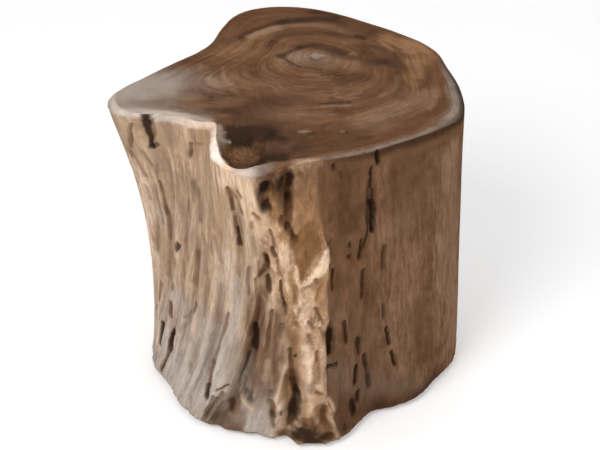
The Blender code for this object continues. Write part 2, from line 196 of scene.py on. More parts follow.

# The sanded rim at chosen headings: width and drop in mm, then how pale it is
RIM_WIDTHS = (
    (0, 15), (12, 12), (30, 6), (60, 4), (90, 3.5), (150, 4), (172, 6), (185, 10), (196, 13), (206, 13),
    (214, 11), (219, 10), (224, 9), (230, 11), (235, 15), (239, 12), (244, 8), (250, 8), (254, 12),
    (259, 12), (265, 9), (271, 6), (290, 3.5), (305, 2.8), (315, 4.3), (328, 8), (340, 14), (352, 16),
)
RIM_DROPS = (
    (0, 4), (30, 4), (90, 4), (150, 5), (180, 6), (196, 5.5), (206, 6), (213, 7.8), (219, 7), (230, 7),
    (235, 9), (240, 5), (247, 4.5), (252, 7), (256, 10), (260, 10), (264, 7), (270, 5), (280, 4), (290, 7),
    (303, 9), (315, 7.2), (330, 6), (342, 6), (352, 5.5),
)
RIM_TONES = (
    (0, "drab"), (6, "drab"), (11, "shade"), (16, "brown"), (90, "brown"), (160, "brown"),
    (172, "shade"), (180, "stone"), (188, "bone"), (204, "bone"), (213, "sand"), (222, "sand"),
    (228, "cream"), (233, "chalk"), (240, "chalk"), (244, "cream"), (247, "sand"), (250.5, "sand"),
    (253, "bone"), (256.5, "stone"), (259.5, "drab"), (263, "shade"), (266, "brown"), (269, "brown"),
    (275, "tan"), (281, "tan"), (286, "shade"), (292, "drab"), (338, "drab"), (344, "stone"),
    (350, "drab"),
)
# How dark and deep the painted shadow line under the rim is, then how dark the painted shade on the rim's
# own outer edge is
RIM_SHADOW_LINE = ((0, 0.6), (30, 0), (280, 0), (289, 0.3), (297, 0.55), (306, 0.8), (317, 1), (350, 1))
OUTER_RIM_SHADE = ((0, 1), (12, 0.9), (35, 0.6), (60, 0.3), (120, 0), (328, 0), (338, 0.5), (346, 1))

# Cracks that cut into the rim: heading at its outer edge and at its inner edge, half width in
# degrees, how far in they reach
RIM_CRACKS = ((198.8, 198.3, 0.8, 0.95), (303.5, 303.5, 0.5, 0.25))

# How far the wall is bleached by weather, at chosen headings
BLEACH_SHARES = (
    (0, 0.05), (30, 0.10), (60, 0.25), (90, 0.35), (120, 0.65), (150, 0.90), (180, 1), (210, 1),
    (240, 1), (260, 1), (272, 0.95), (280, 0.9), (283, 0.85), (287, 0), (300, 0), (330, 0),
)

# Where the bleached ridge starts on its left, and where it ends on its right: height in mm, heading
RIDGE_START = ((23, 261), (79, 263), (133, 266), (175, 267), (215, 265), (246, 261), (261, 258), (424, 256))
RIDGE_EDGE = (
    (14, 287.2), (41, 286.0), (71, 283.7), (99, 282.9), (160, 283.6), (194, 284.6), (256, 284.7),
    (298, 285.5), (316, 285.3), (332, 283.8), (350, 282.7), (370, 282.0), (434, 281.5),
)

# The tones of the wood, and of its painted shade, shadow and sheen, as 8-bit screen colours
TONES = {
    "dark": (50, 34, 23), "deep": (78, 53, 38), "brown": (110, 77, 53), "shade": (122, 99, 81),
    "stone": (152, 135, 121), "amber": (138, 98, 63), "gold": (168, 128, 90), "light": (146, 114, 90),
    "glow": (150, 116, 90), "tan": (170, 140, 115), "ash": (181, 169, 160), "peach": (212, 178, 148),
    "cream": (236, 205, 175), "chalk": (253, 239, 222), "bone": (202, 187, 174), "sand": (220, 193, 171),
    "drab": (132, 114, 101),
}
PLAIN_BROWN = (115, 82, 58)

# What weather, insects and rot have drawn on the wall, with a painted sheen on its right face, laid one over
# another: a tone, then strokes in it. A stroke is its amount, width in pixels at the start and at the end,
# depth in mm, how soft its edge is, then x and y in pixels of the photograph for each point of its middle
# line. A depth below nothing stands proud of the wall.
WALL_STROKES = (
    # broad tones of the left face
    ("ash", (0.75, 30, 30, 0, 1, 168, 345, 175, 375), (0.9, 34, 26, 0, 1, 190, 385, 200, 400),
     (0.7, 30, 24, 0, 1, 215, 345, 212, 385), (0.55, 26, 30, 0, 1, 178, 300, 195, 320),
     (0.6, 16, 16, 0, 1, 238, 285, 232, 320, 224, 352), (0.7, 22, 16, 0, 1, 252, 418, 268, 428),
     (0.35, 20, 20, 0, 1, 160, 215, 185, 225)),
    ("peach", (0.55, 10, 8, 0, 1, 134, 160, 146, 200, 153, 250),
     (0.6, 7, 6, 0, 1, 157, 255, 158, 300, 158, 345), (0.5, 26, 20, 0, 1, 232, 175, 245, 205),
     (0.45, 18, 10, 0, 1, 216, 165, 226, 185), (0.4, 8, 6, 0, 1, 184, 125, 188, 150, 190, 175),
     (0.45, 7, 7, 0, 1, 236, 225, 237, 262), (0.35, 7, 7, 0, 1, 229, 270, 228, 312),
     (0.45, 6, 6, 0, 1, 211, 255, 211, 300), (0.35, 9, 9, 0, 1, 137, 130, 146, 160),
     (0.5, 14, 14, 0, 1, 254, 195, 262, 235)),
    ("tan", (0.5, 20, 20, 0, 1, 162, 128, 164, 160)),
    ("shade", (0.4, 14, 12, 0, 1, 166, 126, 172, 140)),
    ("gold", (0.4, 14, 14, 0, 1, 200, 134, 201, 143), (0.35, 10, 10, 0, 1, 220, 200, 216, 235),
     (0.25, 9, 9, 0, 1, 206, 170, 207, 185)),
    ("shade", (0.7, 6, 5, 1.5, 1, 176, 175, 178, 195, 181, 214),
     (0.65, 5, 5, 1.5, 1, 199, 192, 201, 218, 204, 240), (0.6, 4, 4, 1.5, 1, 183, 205, 186, 240)),
    ("brown", (0.4, 3, 3, 1, 0.9, 176, 186, 178, 206)),
    ("shade", (0.5, 3.5, 3.5, 1, 0.9, 190, 172, 193, 200), (0.45, 4, 4, 1, 0.9, 211, 196, 213, 226),
     (0.45, 3, 3, 1, 0.9, 168, 160, 172, 190), (0.45, 3.5, 3.5, 1, 0.9, 184, 262, 184, 300),
     (0.45, 3.5, 3.5, 1, 0.9, 206, 286, 204, 316)),
    ("brown", (0.4, 3, 3, 1, 0.9, 220, 232, 222, 262)),
    ("shade", (0.3, 12, 12, 0, 1, 150, 140, 160, 170), (0.5, 22, 20, 0, 1, 236, 402, 222, 420),
     (0.45, 22, 16, 0, 1, 240, 350, 233, 385),
     (0.6, 7, 7, 1.5, 1, 222, 285, 220, 302, 218, 318, 214, 332)),
    ("brown", (0.6, 14, 10, 1.5, 1, 253, 296, 251, 312, 249, 330)),
    ("shade", (0.7, 12, 12, 1, 1, 250, 325, 245, 345, 242, 365),
     (0.75, 16, 14, 1, 1, 262, 330, 258, 355, 254, 380)),
    ("brown", (0.5, 10, 8, 1, 1, 264, 345, 262, 365, 259, 385),
     (0.45, 12, 12, 1, 1, 275, 330, 278, 350, 276, 380)),
    ("shade", (0.5, 12, 12, 0, 1, 280, 300, 284, 325)),
    ("bone", (0.5, 40, 36, 0, 1, 176, 372, 196, 402), (0.35, 20, 18, 0, 1, 214, 330, 210, 380),
     (0.35, 16, 14, 0, 1, 226, 260, 226, 300)),
    ("peach", (0.5, 10, 8, 0, 1, 192, 270, 194, 330), (0.3, 16, 14, 0, 1, 176, 160, 180, 240)),
    ("sand", (0.65, 6, 5, 0, 1, 134, 160, 146, 195, 151, 240), (0.8, 7, 7, 0, 1, 157, 250, 158, 340)),
    ("brown", (0.5, 26, 24, 0, 1, 257, 318, 260, 388)),
    ("stone", (0.6, 12, 12, 0, 1, 250, 362, 250, 386)),
    ("brown", (0.3, 12, 12, 0, 1, 272, 374, 270, 390), (0.4, 22, 20, 0, 1, 276, 320, 274, 385),
     (0.5, 4, 4, 1, 0.9, 250, 300, 246, 356), (0.6, 4, 4, 1, 0.9, 260, 330, 252, 392),
     (0.5, 4, 4, 1, 0.9, 269, 345, 262, 385), (0.5, 4, 4, 1, 0.9, 277, 315, 273, 372)),
    ("light", (0.5, 3, 3, 0, 0.9, 263, 322, 257, 372), (0.5, 3, 3, 0, 0.9, 273, 330, 267, 384)),
    ("tan", (0.4, 3.5, 3.5, 0, 0.9, 282, 322, 279, 352)),
    ("cream", (0.55, 16, 18, 0, 1, 232, 176, 246, 186), (0.5, 16, 16, 0, 1, 246, 184, 254, 215)),
    ("peach", (0.6, 12, 10, 0, 1, 254, 215, 262, 240)),
    ("cream", (0.35, 8, 8, 0, 1, 217, 166, 224, 180)),
    ("peach", (0.35, 9, 8, 0, 1, 180, 130, 182, 160)),
    # checks and slits of the left face
    ("dark", (0.95, 6, 4.5, 8, 0.35, 146.6, 119.8, 146.8, 125, 147.6, 132, 150.5, 140, 153, 146),
     (0.7, 3.5, 3, 4, 0.35, 152.5, 145.5, 156, 143.5)),
    ("brown", (0.75, 3.5, 3.5, 5, 0.5, 130.3, 123, 130.8, 147)),
    ("shade", (0.75, 4.5, 4, 3, 0.5, 190.3, 145, 190.2, 155)),
    ("brown", (0.6, 4, 3, 4, 0.4, 190.5, 152, 190, 157.5)),
    ("shade", (0.55, 2.2, 2.2, 1.5, 0.5, 190, 144, 202, 143.5),
     (0.65, 5, 4, 1.5, 0.8, 193, 183, 197.5, 195), (0.7, 3.5, 4, 2, 0.8, 130.5, 151, 138, 163, 146, 176),
     (0.6, 3.5, 3.5, 2, 0.7, 141, 152, 150.5, 165), (0.5, 3.5, 3.5, 1.5, 0.8, 157, 164, 158.3, 179)),
    ("brown", (0.85, 2.8, 4, 4, 0.5, 160, 181, 163, 191, 166, 203, 168.3, 214),
     (0.75, 4, 3.5, 4, 0.5, 167, 207, 169, 217, 170.5, 228, 171, 239)),
    ("shade", (0.65, 3, 3, 2, 0.8, 155, 185, 158, 200, 160.5, 212, 163, 224),
     (0.55, 3, 3.5, 1.5, 0.7, 145, 184, 151, 199), (0.6, 4, 4, 2, 0.8, 158, 226, 158, 250)),
    ("dark", (0.65, 5, 4.2, 6, 0.4, 178, 245.5, 176.4, 249)),
    ("shade", (0.35, 4, 5, 1.5, 1, 170, 240, 170, 262)),
    ("brown", (0.35, 6, 6, 1, 1, 173, 256, 174, 262)),
    ("shade", (0.6, 4.5, 5, 2, 0.7, 169.5, 262, 170.3, 275, 172, 287),
     (0.45, 4, 4.5, 2, 0.8, 186, 240, 187.5, 258), (0.5, 5, 6, 2, 0.8, 197, 238, 198, 256)),
    ("brown", (0.6, 5, 6.5, 2, 0.7, 198, 252, 198, 268, 197, 281)),
    ("shade", (0.5, 6, 5, 1.5, 0.8, 197, 280, 195, 294), (0.4, 4, 4, 1.5, 0.8, 205.5, 243, 205.5, 272),
     (0.4, 4, 4, 1.5, 0.8, 214, 238, 218, 250, 222.5, 262)),
    ("brown", (0.6, 3.5, 3.5, 3, 0.5, 160.3, 283, 158.5, 299),
     (0.6, 3, 3, 3, 0.5, 157.5, 306, 157.3, 316), (0.85, 3.8, 4, 5, 0.35, 171, 303, 170.3, 316)),
    ("deep", (0.95, 3.8, 3.8, 5, 0.35, 162.5, 324, 161.3, 334, 160, 343),
     (1, 5, 4.5, 6, 0.3, 174, 331.5, 171.5, 342, 169.5, 351)),
    ("dark", (0.6, 2.5, 2, 6, 0.4, 173, 334, 171, 343)),
    ("brown", (0.8, 4.5, 3, 5, 0.4, 169.5, 350, 166, 360, 160.5, 370.5),
     (0.7, 5, 4, 4, 0.5, 196, 304, 194, 310)),
    ("shade", (0.55, 4, 4, 1.5, 0.8, 193, 311, 185, 317),
     (0.35, 3, 3, 1, 1, 192, 318, 185, 324, 180, 331)),
    ("brown", (0.6, 3.2, 3.6, 3.5, 0.5, 228.5, 314, 225, 327, 220, 341, 217, 352, 213.5, 363),
     (0.7, 3.5, 3.5, 4, 0.5, 213.5, 362, 211, 373, 209.3, 385)),
    ("dark", (0.9, 4, 4, 6, 0.4, 208, 385, 206.8, 398)),
    ("shade", (0.35, 2.5, 3, 1, 1, 199, 340, 194, 355, 191, 366)),
    ("brown", (0.4, 4, 4, 2, 0.7, 190.5, 364, 190, 372),
     (0.65, 4, 3.5, 4, 0.5, 213.5, 397, 210.5, 404, 205, 412)),
    ("shade", (0.75, 5, 5, 4, 0.6, 223, 394, 218, 405, 214, 420)),
    ("brown", (0.75, 2, 2, 2.5, 0.4, 216, 391, 222, 388, 229, 384)),
    ("shade", (0.35, 3, 3, 1, 1, 190.5, 396, 191, 409)),
    ("brown", (0.6, 7, 7, 2, 0.7, 204, 421, 214, 425, 226, 429, 240, 431)),
    ("shade", (0.75, 22, 16, 0, 0.9, 214, 415, 234, 422)),
    ("deep", (0.35, 14, 12, 0, 0.9, 214, 420, 236, 426)),
    ("dark", (0.6, 2.8, 2.8, 3, 0.6, 217, 398, 211, 408, 205, 416),
     (0.5, 2.8, 2.8, 3, 0.6, 223, 401, 217, 412, 212, 420)),
    ("brown", (0.55, 2.5, 2.5, 2, 0.7, 227, 410, 222, 421), (0.8, 6, 6, 2, 0.7, 233, 400, 231, 409)),
    ("shade", (0.45, 9, 8, 1, 1, 213, 335, 210, 360, 207, 385), (0.35, 20, 18, 0, 1, 264, 374, 258, 394),
     (0.5, 14, 14, 0, 1, 266, 386, 258, 402)),
    # towards the ridge
    ("brown", (0.75, 4.4, 4, 5, 0.5, 227.3, 188.5, 229, 195, 231, 201),
     (0.9, 4, 4, 5, 0.4, 230.5, 199, 232.3, 209)),
    ("amber", (0.6, 3, 3, 3, 0.5, 229.5, 190.5, 235.5, 196.5),
     (0.75, 3.4, 3.2, 3, 0.4, 237.2, 190.5, 241, 197)),
    ("brown", (0.6, 3, 3.2, 3, 0.5, 240, 205, 242, 213),
     (0.75, 3, 5, 5, 0.4, 234.3, 216, 236, 225, 238.3, 231)),
    ("dark", (0.9, 4.6, 5.4, 8, 0.35, 237.5, 228, 239.5, 235, 240.3, 243.5)),
    ("amber", (0.85, 4, 4, 4, 0.4, 253.3, 215, 258.8, 219)),
    ("brown", (0.5, 3, 3, 2, 0.5, 251.8, 222.5, 252, 229)),
    ("shade", (0.4, 4.5, 5, 1.5, 0.8, 253, 238, 256, 256),
     (0.7, 4, 4, 3, 0.6, 248.6, 268, 247, 281, 248.3, 294)),
    ("brown", (0.8, 4, 4.5, 4, 0.4, 255.6, 279, 257.5, 290),
     (0.75, 4.5, 5.5, 5, 0.4, 257.5, 289, 258.5, 302, 257, 315, 256, 326)),
    ("dark", (0.9, 5.5, 6, 9, 0.3, 256, 324, 256.8, 335, 255, 346)),
    ("brown", (0.6, 4, 4, 3, 0.6, 248.5, 340, 249.2, 352, 247, 362)),
    ("dark", (0.6, 4, 4.5, 4, 0.5, 249, 352, 246.8, 362, 242.5, 372, 239.5, 382)),
    ("shade", (0.6, 4.5, 5, 2, 0.7, 240, 382, 235.5, 395)),
    ("brown", (0.5, 4.5, 4, 2, 0.7, 246.5, 380, 245.5, 391)),
    ("dark", (0.45, 7, 7, 4, 0.6, 247, 392, 249.5, 399)),
    ("brown", (0.95, 8, 7, 4, 0.5, 233.5, 401, 231.5, 408)),
    ("dark", (0.6, 5, 5, 6, 0.5, 233.5, 402, 231.5, 407)),
    ("brown", (0.6, 8, 8, 2, 0.8, 239, 399, 238, 410)),
    ("peach", (0.7, 3, 3.5, -1, 0.6, 241.5, 396, 247, 405, 252.5, 410)),
    ("brown", (0.7, 4, 4.5, 4, 0.5, 271.8, 311, 270.2, 325, 268, 339),
     (0.6, 5, 5, 3, 0.6, 268, 338, 265.8, 352)),
    ("dark", (0.35, 5, 5, 3, 0.6, 281.5, 324, 280.8, 338)),
    ("peach", (0.35, 5, 5, 0, 0.8, 268, 362, 264.5, 380)),
    ("brown", (0.55, 6, 6, 2, 0.8, 275, 372, 274, 382), (0.4, 5, 5, 1.5, 0.8, 263, 300, 261, 318)),
    # the ridge, from its top
    ("amber", (0.55, 34, 30, 0, 1, 303, 175, 306, 222)),
    ("brown", (0.5, 22, 18, 0, 1, 299, 178, 299, 204), (0.3, 22, 20, 0, 1, 300, 204, 299, 226),
     (0.35, 16, 14, 0, 1, 314, 175, 318, 225)),
    ("gold", (0.55, 12, 12, 0, 1, 307, 200, 309, 224)),
    ("tan", (0.5, 12, 9, 0, 0.9, 292, 167, 318, 162)),
    ("brown", (0.3, 16, 14, 0, 1, 296, 170, 312, 168)),
    ("gold", (0.5, 18, 16, 0, 1, 270, 206, 272, 216)),
    ("peach", (0.6, 12, 12, 0, 0.9, 262, 220, 270, 232)),
    ("gold", (0.55, 8, 8, 0, 1, 315, 222, 320, 234), (0.6, 12, 10, 0, 0.9, 286, 236, 283, 244)),
    ("amber", (0.95, 24, 24, 1.5, 0.35, 309, 236, 310, 248), (0.9, 16, 14, 1.5, 0.5, 295, 240, 295, 254),
     (0.95, 24, 14, 1.5, 0.35, 307, 247, 304, 262), (0.9, 14, 5, 1.5, 0.4, 303, 262, 302.5, 279)),
    ("brown", (0.4, 12, 12, 0, 1, 316, 238, 316, 246)),
    ("gold", (0.5, 6, 6, 0, 0.8, 302, 250, 300, 258)),
    ("light", (0.4, 3, 3, 0, 0.8, 302.5, 249, 304, 253)),
    ("dark", (0.3, 2.5, 2.5, 1, 0.7, 306, 253, 307, 260)),
    ("amber", (0.5, 10, 8, 0, 0.9, 291, 262, 288, 280)),
    ("gold", (0.6, 8, 7, 0, 0.9, 280, 262, 284, 282)),
    ("peach", (0.5, 24, 22, 0, 1, 274, 250, 271, 285),
     (0.5, 4.5, 4.5, -1, 0.8, 273.5, 256, 274.5, 280, 275, 306)),
    ("cream", (0.6, 12, 11, -1, 0.9, 284, 250, 286, 264), (0.5, 5, 5, -1, 0.8, 286, 276, 286.5, 286),
     (0.75, 4, 5, -1.5, 0.6, 296.3, 267, 297.5, 279, 301, 289),
     (0.95, 6, 9, -2, 0.4, 326, 252, 325, 262), (0.95, 9, 9, -2, 0.5, 324.5, 261, 320, 272, 312, 279),
     (0.85, 8, 8, -2, 0.5, 312, 279, 306.5, 285, 302, 292),
     (0.7, 9, 8, -2, 0.7, 302, 290, 300, 303, 298.5, 317)),
    ("peach", (0.9, 12, 14, -1, 0.8, 305, 298, 308, 315), (0.35, 12, 12, 0, 1, 313, 294, 312, 308),
     (0.6, 12, 11, 0, 1, 304, 291, 312, 308)),
    ("cream", (0.6, 5.5, 6, -1.5, 0.7, 303, 316, 303, 335, 304.5, 346)),
    ("peach", (0.6, 12, 12, -1, 0.8, 305, 330, 311, 350)),
    ("gold", (0.8, 12, 12, 0, 0.7, 321, 290, 322, 308), (0.6, 8, 8, 0, 0.8, 320, 282, 326, 278)),
    ("amber", (0.6, 5, 5, 1, 0.7, 321, 286, 316.5, 300)),
    ("light", (0.5, 5, 5, 0, 0.8, 321, 298, 321.5, 304)),
    ("amber", (0.7, 6, 6, 1.5, 0.6, 296, 288, 295.5, 302)),
    ("brown", (0.75, 3, 3.5, 3, 0.6, 315.5, 308, 319, 317, 323, 324)),
    ("shade", (0.8, 4.5, 4, 2, 0.6, 309, 321, 314, 328)),
    ("cream", (0.6, 4.5, 4.5, -1, 0.7, 316.5, 324.5, 319, 325.5)),
    ("shade", (0.5, 3, 3, 2, 0.7, 300, 309, 297, 317)),
    ("brown", (0.6, 5, 5, 2, 0.6, 309, 335, 309.3, 342)),
    ("shade", (0.5, 4, 4, 1.5, 0.8, 312, 343, 313, 349)),
    ("amber", (0.6, 14, 13, 0, 0.9, 296, 336, 298, 343)),
    ("brown", (0.35, 8, 8, 1, 0.9, 291, 333, 291, 345)),
    ("tan", (0.6, 8, 9, 0, 0.9, 321, 336, 321, 360)),
    ("brown", (0.5, 3.5, 3.5, 2, 0.6, 319.5, 329.5, 324.5, 336)),
    ("amber", (0.85, 5, 4, 2.5, 0.5, 316, 279, 317, 283), (0.6, 6, 3, 2, 0.6, 303, 290, 308, 287)),
    ("brown", (0.8, 3, 3.5, 4, 0.5, 280.5, 282, 282, 296, 284.5, 305)),
    ("dark", (0.55, 3, 3, 4, 0.5, 283, 299, 285.5, 307)),
    ("brown", (0.6, 3, 2.5, 2, 0.5, 285.5, 306, 286, 314)),
    # the rot holes on top of the ridge
    ("shade", (0.8, 24, 20, 0, 0.9, 270, 175, 286, 174)),
    ("brown", (0.75, 20, 16, 0, 0.9, 270, 174, 284, 172), (0.75, 16, 14, 2, 0.8, 276, 183, 276, 194),
     (0.6, 14, 12, 2, 0.7, 265.5, 184, 265, 194)),
    ("dark", (1, 9.5, 9.5, 9, 0.4, 264.3, 183, 264.3, 191)),
    ("gold", (0.5, 6, 5, 0, 0.7, 264, 198, 271, 198)),
    ("brown", (0.85, 14, 13, 0, 1, 277, 198, 277, 214),
     (0.9, 5, 5, 3, 0.5, 260.5, 197, 261.5, 203, 265, 206)),
    ("gold", (0.7, 9, 8, 0, 0.8, 272, 198, 275, 214)),
    ("dark", (0.95, 8.5, 7, 7, 0.45, 265.5, 205, 269, 206.5)),
    ("brown", (0.9, 16, 14, 6, 0.6, 285, 180, 283, 196)),
    ("dark", (0.5, 8, 8, 4, 0.7, 276, 180, 275.5, 193)),
    ("brown", (0.9, 9, 8, 4, 0.6, 286.5, 180, 280, 184), (0.7, 9, 9, 3, 0.7, 277.5, 190, 276, 197),
     (0.9, 9, 8, 5, 0.6, 287, 184, 286.5, 196)),
    ("dark", (0.5, 6, 6, 4, 0.7, 287, 185, 286.5, 195), (0.85, 7.5, 7, 6, 0.5, 280, 181.5, 278.5, 189),
     (1, 7.5, 8, 9, 0.4, 289.5, 175, 288.8, 182), (0.85, 7, 6, 10, 0.45, 287.5, 195, 288.7, 208)),
    ("brown", (0.85, 8, 8, 6, 0.6, 288, 206, 289, 217)),
    ("gold", (0.5, 8, 8, 0, 0.8, 297, 203, 299, 208)),
    ("brown", (0.55, 5, 4, 2, 0.7, 300.5, 175, 301.5, 177), (0.55, 9, 8, 0, 0.7, 267, 173, 284, 170.5)),
    ("dark", (0.4, 5, 5, 2, 0.7, 262, 176, 272, 175)),
    ("brown", (0.8, 8, 7, 6, 0.6, 281.5, 220, 287, 226)),
    ("dark", (0.65, 7, 6, 7, 0.5, 286.5, 225.5, 291.5, 233, 295, 240)),
    ("brown", (0.65, 6, 5, 4, 0.6, 294.5, 239, 292, 247),
     (0.6, 3, 3, 2, 0.6, 269.3, 229, 271.5, 236, 274.5, 246),
     (0.85, 5, 5, 5, 0.45, 272.3, 250, 275.8, 256),
     (0.5, 3.5, 3.5, 2, 0.7, 276.5, 256, 278.5, 268, 280, 276),
     (0.9, 6, 6, 8, 0.5, 265, 253.5, 267.2, 260)),
    ("dark", (0.8, 5, 5.5, 9, 0.45, 266.8, 256, 267.6, 266)),
    ("brown", (0.85, 7, 7, 6, 0.6, 266, 266, 260.5, 274)),
    ("dark", (0.4, 5, 5, 4, 0.6, 262, 270, 259.5, 276), (0.9, 6.2, 7, 10, 0.4, 267.4, 276, 268.6, 287)),
    ("brown", (0.6, 6, 5, 3, 0.6, 267, 288, 266, 296), (0.5, 3.5, 3.5, 2, 0.8, 258, 262, 259, 270)),
    ("shade", (0.5, 4, 4, 1, 0.8, 262, 239, 264, 243)),
    # the foot of the ridge
    ("peach", (0.7, 12, 11, -1, 0.9, 305, 350, 308, 376)),
    ("brown", (0.5, 9, 9, 0, 0.9, 295, 350, 296, 382)),
    ("cream", (0.75, 8, 9, -1.5, 0.8, 306, 348, 308, 360), (0.8, 8, 6, -1.5, 0.8, 309, 358, 310, 380)),
    ("peach", (0.8, 9, 7, -1.5, 0.7, 310, 379, 311, 396)),
    ("shade", (0.5, 8, 8, 0, 0.7, 307, 384, 307, 400)),
    ("peach", (0.75, 7, 4.5, -2, 0.5, 311.5, 396, 312, 408, 314, 417, 318, 423)),
    ("amber", (0.95, 4, 4, 2, 0.35, 317, 352, 316.5, 364)),
    ("gold", (1, 4.8, 4.4, 0.5, 0.5, 316.3, 364, 316, 382)),
    ("peach", (0.35, 4.4, 4, 0, 0.6, 316.3, 365, 316, 381)),
    ("brown", (0.4, 2, 2, 1.5, 0.4, 318.8, 362, 318.6, 380)),
    ("peach", (0.7, 3.5, 4, -1, 0.5, 321.8, 350, 321.5, 390)),
    ("light", (0.3, 4, 4, 0, 0.6, 321, 352, 321, 372)),
    ("sand", (0.3, 4, 4, 0, 0.9, 306, 378, 308, 398)),
    ("shade", (0.2, 8, 8, 0, 1, 304, 352, 304, 380)),
    ("cream", (0.5, 4.5, 4, 0, 0.8, 308.5, 360, 309.8, 384),
     (0.8, 6, 6, -2, 0.4, 318, 387, 319.5, 388.5)),
    ("shade", (0.5, 6, 6, 0, 0.6, 310.5, 384, 311.5, 390)),
    ("brown", (0.7, 3, 3, 3, 0.4, 315.5, 393, 321.5, 394)),
    ("tan", (0.6, 8, 7, -1, 0.7, 315, 400, 326, 399)),
    ("brown", (0.85, 6, 6.5, 6, 0.45, 323.5, 406, 323, 421)),
    ("dark", (0.25, 5, 5, 3, 0.6, 323, 410, 322.5, 418)),
    ("peach", (0.75, 4.5, 5, -2, 0.45, 327.5, 399, 333, 406, 334, 412),
     (0.6, 4, 4, -2, 0.5, 331, 410, 332, 421, 336, 431, 339.5, 438)),
    ("brown", (0.5, 3, 3, 2, 0.5, 331.5, 411.5, 336.5, 412),
     (0.85, 4, 5, 4, 0.45, 289.6, 349, 291, 362, 292, 372),
     (0.95, 6.5, 8, 6, 0.4, 291.5, 370, 293, 380, 295, 389)),
    ("dark", (0.55, 5, 6, 7, 0.45, 292, 378, 296, 388), (0.9, 6, 6.5, 9, 0.35, 296.8, 386.5, 297.5, 395),
     (0.95, 8, 10, 9, 0.4, 297, 391, 295.5, 405), (0.95, 10.5, 10, 13, 0.3, 294.5, 402, 292.5, 412),
     (0.9, 9, 6, 11, 0.35, 292.5, 411, 289, 422)),
    ("brown", (0.8, 5, 3, 5, 0.5, 289, 421, 287, 427)),
    ("dark", (0.85, 3.5, 3.5, 4, 0.3, 295.2, 355, 295.6, 356.2)),
    ("brown", (0.4, 4, 4, 2, 0.6, 279.5, 358, 276, 365)),
    ("peach", (0.6, 5, 4.5, -1.5, 0.6, 286, 367, 282, 381, 278, 394),
     (0.5, 4.5, 5, -1.5, 0.6, 277.5, 393, 276, 402)),
    ("tan", (0.4, 6, 6, 0, 0.8, 284, 384, 283, 400)),
    ("peach", (0.6, 9, 8, -2, 0.6, 281, 404, 281.3, 428)),
    ("sand", (1, 6.5, 6, -1, 0.5, 281, 404, 281.3, 429)),
    ("cream", (0.5, 5, 5, 0, 0.7, 281.2, 414, 281.4, 426),
     (0.8, 5.5, 5, -2, 0.5, 280.3, 405.5, 281, 407)),
    ("dark", (0.85, 3, 3, 5, 0.35, 281, 410, 281.1, 414), (0.35, 5, 5, 4, 0.6, 270.8, 392, 271, 396)),
    ("brown", (0.85, 7, 7, 4, 0.6, 271.5, 402, 273, 416)),
    ("dark", (0.6, 6, 4, 6, 0.45, 271.5, 413, 273.8, 426)),
    ("peach", (0.35, 5, 5, -1, 0.7, 300, 425, 288, 431)),
    ("shade", (0.5, 10, 8, 0, 0.7, 301, 400, 303, 420), (0.6, 12, 10, 0, 0.8, 300, 425, 296, 432)),
    ("brown", (0.8, 16, 16, 3, 0.5, 308, 423, 310, 434)),
    ("dark", (0.95, 18, 18, 3, 0.5, 304, 435, 314, 441), (0.5, 8, 8, 3, 0.5, 283, 435, 296, 438),
     (0.35, 6, 6, 2, 0.6, 278, 433, 283, 433)),
    ("brown", (0.85, 12, 12, 2, 0.6, 325, 425, 327, 434)),
    ("dark", (0.85, 8, 7, 4, 0.45, 325, 437, 332, 437)),
    # the brown right face, its shades first
    ("deep", (0.35, 26, 26, 0, 1, 345, 175, 348, 215), (0.35, 13, 13, 0, 0.6, 353, 215, 353, 226),
     (0.3, 30, 26, 0, 1, 408, 170, 408, 225), (0.3, 9, 9, 0, 0.8, 417, 300, 418, 345),
     (0.3, 12, 12, 0, 1, 425, 345, 428, 360), (0.35, 8, 8, 0, 1, 450, 335, 449, 352),
     (0.3, 5, 4, 0, 1, 452, 196, 440, 210, 428, 221), (0.2, 34, 24, 0, 1, 378, 368, 384, 392)),
    ("shade", (0.6, 26, 20, 0, 1, 338, 372, 344, 390), (0.3, 40, 30, 0, 1, 372, 335, 366, 355),
     (0.3, 14, 12, 0, 1, 332, 300, 334, 320)),
    ("deep", (0.35, 30, 30, 0, 0.9, 372, 398, 400, 392)),
    ("shade", (0.6, 24, 20, 0, 1, 366, 388, 412, 382)),
    ("deep", (0.6, 12, 12, 0, 0.9, 368, 408, 398, 403, 424, 388, 440, 370)),
    ("dark", (0.35, 7, 7, 0, 0.9, 372, 410, 400, 404, 424, 391, 434, 378)),
    ("deep", (0.6, 26, 26, 0, 0.8, 345, 425, 348, 410)),
    # The glow strokes at x 440 to 453 paint a sheen down the right face, a painted highlight; the other glow
    # strokes are paler wood
    ("glow", (0.3, 12, 14, 0, 1, 447, 165, 446, 200), (0.75, 12, 11, 0, 0.9, 441, 238, 440, 285),
     (0.4, 14, 10, 0, 1, 440, 285, 440, 335), (0.3, 14, 12, 0, 1, 383, 165, 382, 185),
     (0.35, 16, 20, 0, 1, 385, 225, 378, 258), (0.35, 14, 12, 0, 1, 338, 315, 340, 325),
     (0.3, 26, 22, 0, 1, 395, 300, 398, 325), (0.3, 10, 8, 0, 1, 424, 370, 420, 385),
     (0.3, 8, 8, 0, 1, 337, 330, 336, 350), (0.35, 26, 24, 0, 1, 398, 345, 402, 366),
     (0.35, 12, 12, 0, 1, 442, 204, 441, 236), (0.85, 16, 20, 0, 1, 452, 150, 453, 340),
     (0.35, 40, 39.9, 0, 1, 410, 215, 405, 290)),
    # slits of the right face
    ("dark", (0.6, 4.5, 4.5, 4, 0.45, 333, 165.5, 334, 169), (0.3, 4, 4, 2, 0.6, 341, 173, 341.5, 177),
     (0.65, 3.6, 3.6, 4, 0.4, 350, 244, 350.2, 246.5), (0.65, 3.6, 3.6, 4, 0.4, 348.4, 257, 350, 257.8)),
    ("deep", (0.5, 3, 3, 1, 0.7, 331.5, 240, 329.5, 245)),
    ("dark", (0.95, 4.2, 5, 7, 0.3, 377.2, 152, 378.3, 162),
     (0.8, 3.2, 3.2, 7, 0.35, 371.5, 168, 370.3, 178, 370.3, 187),
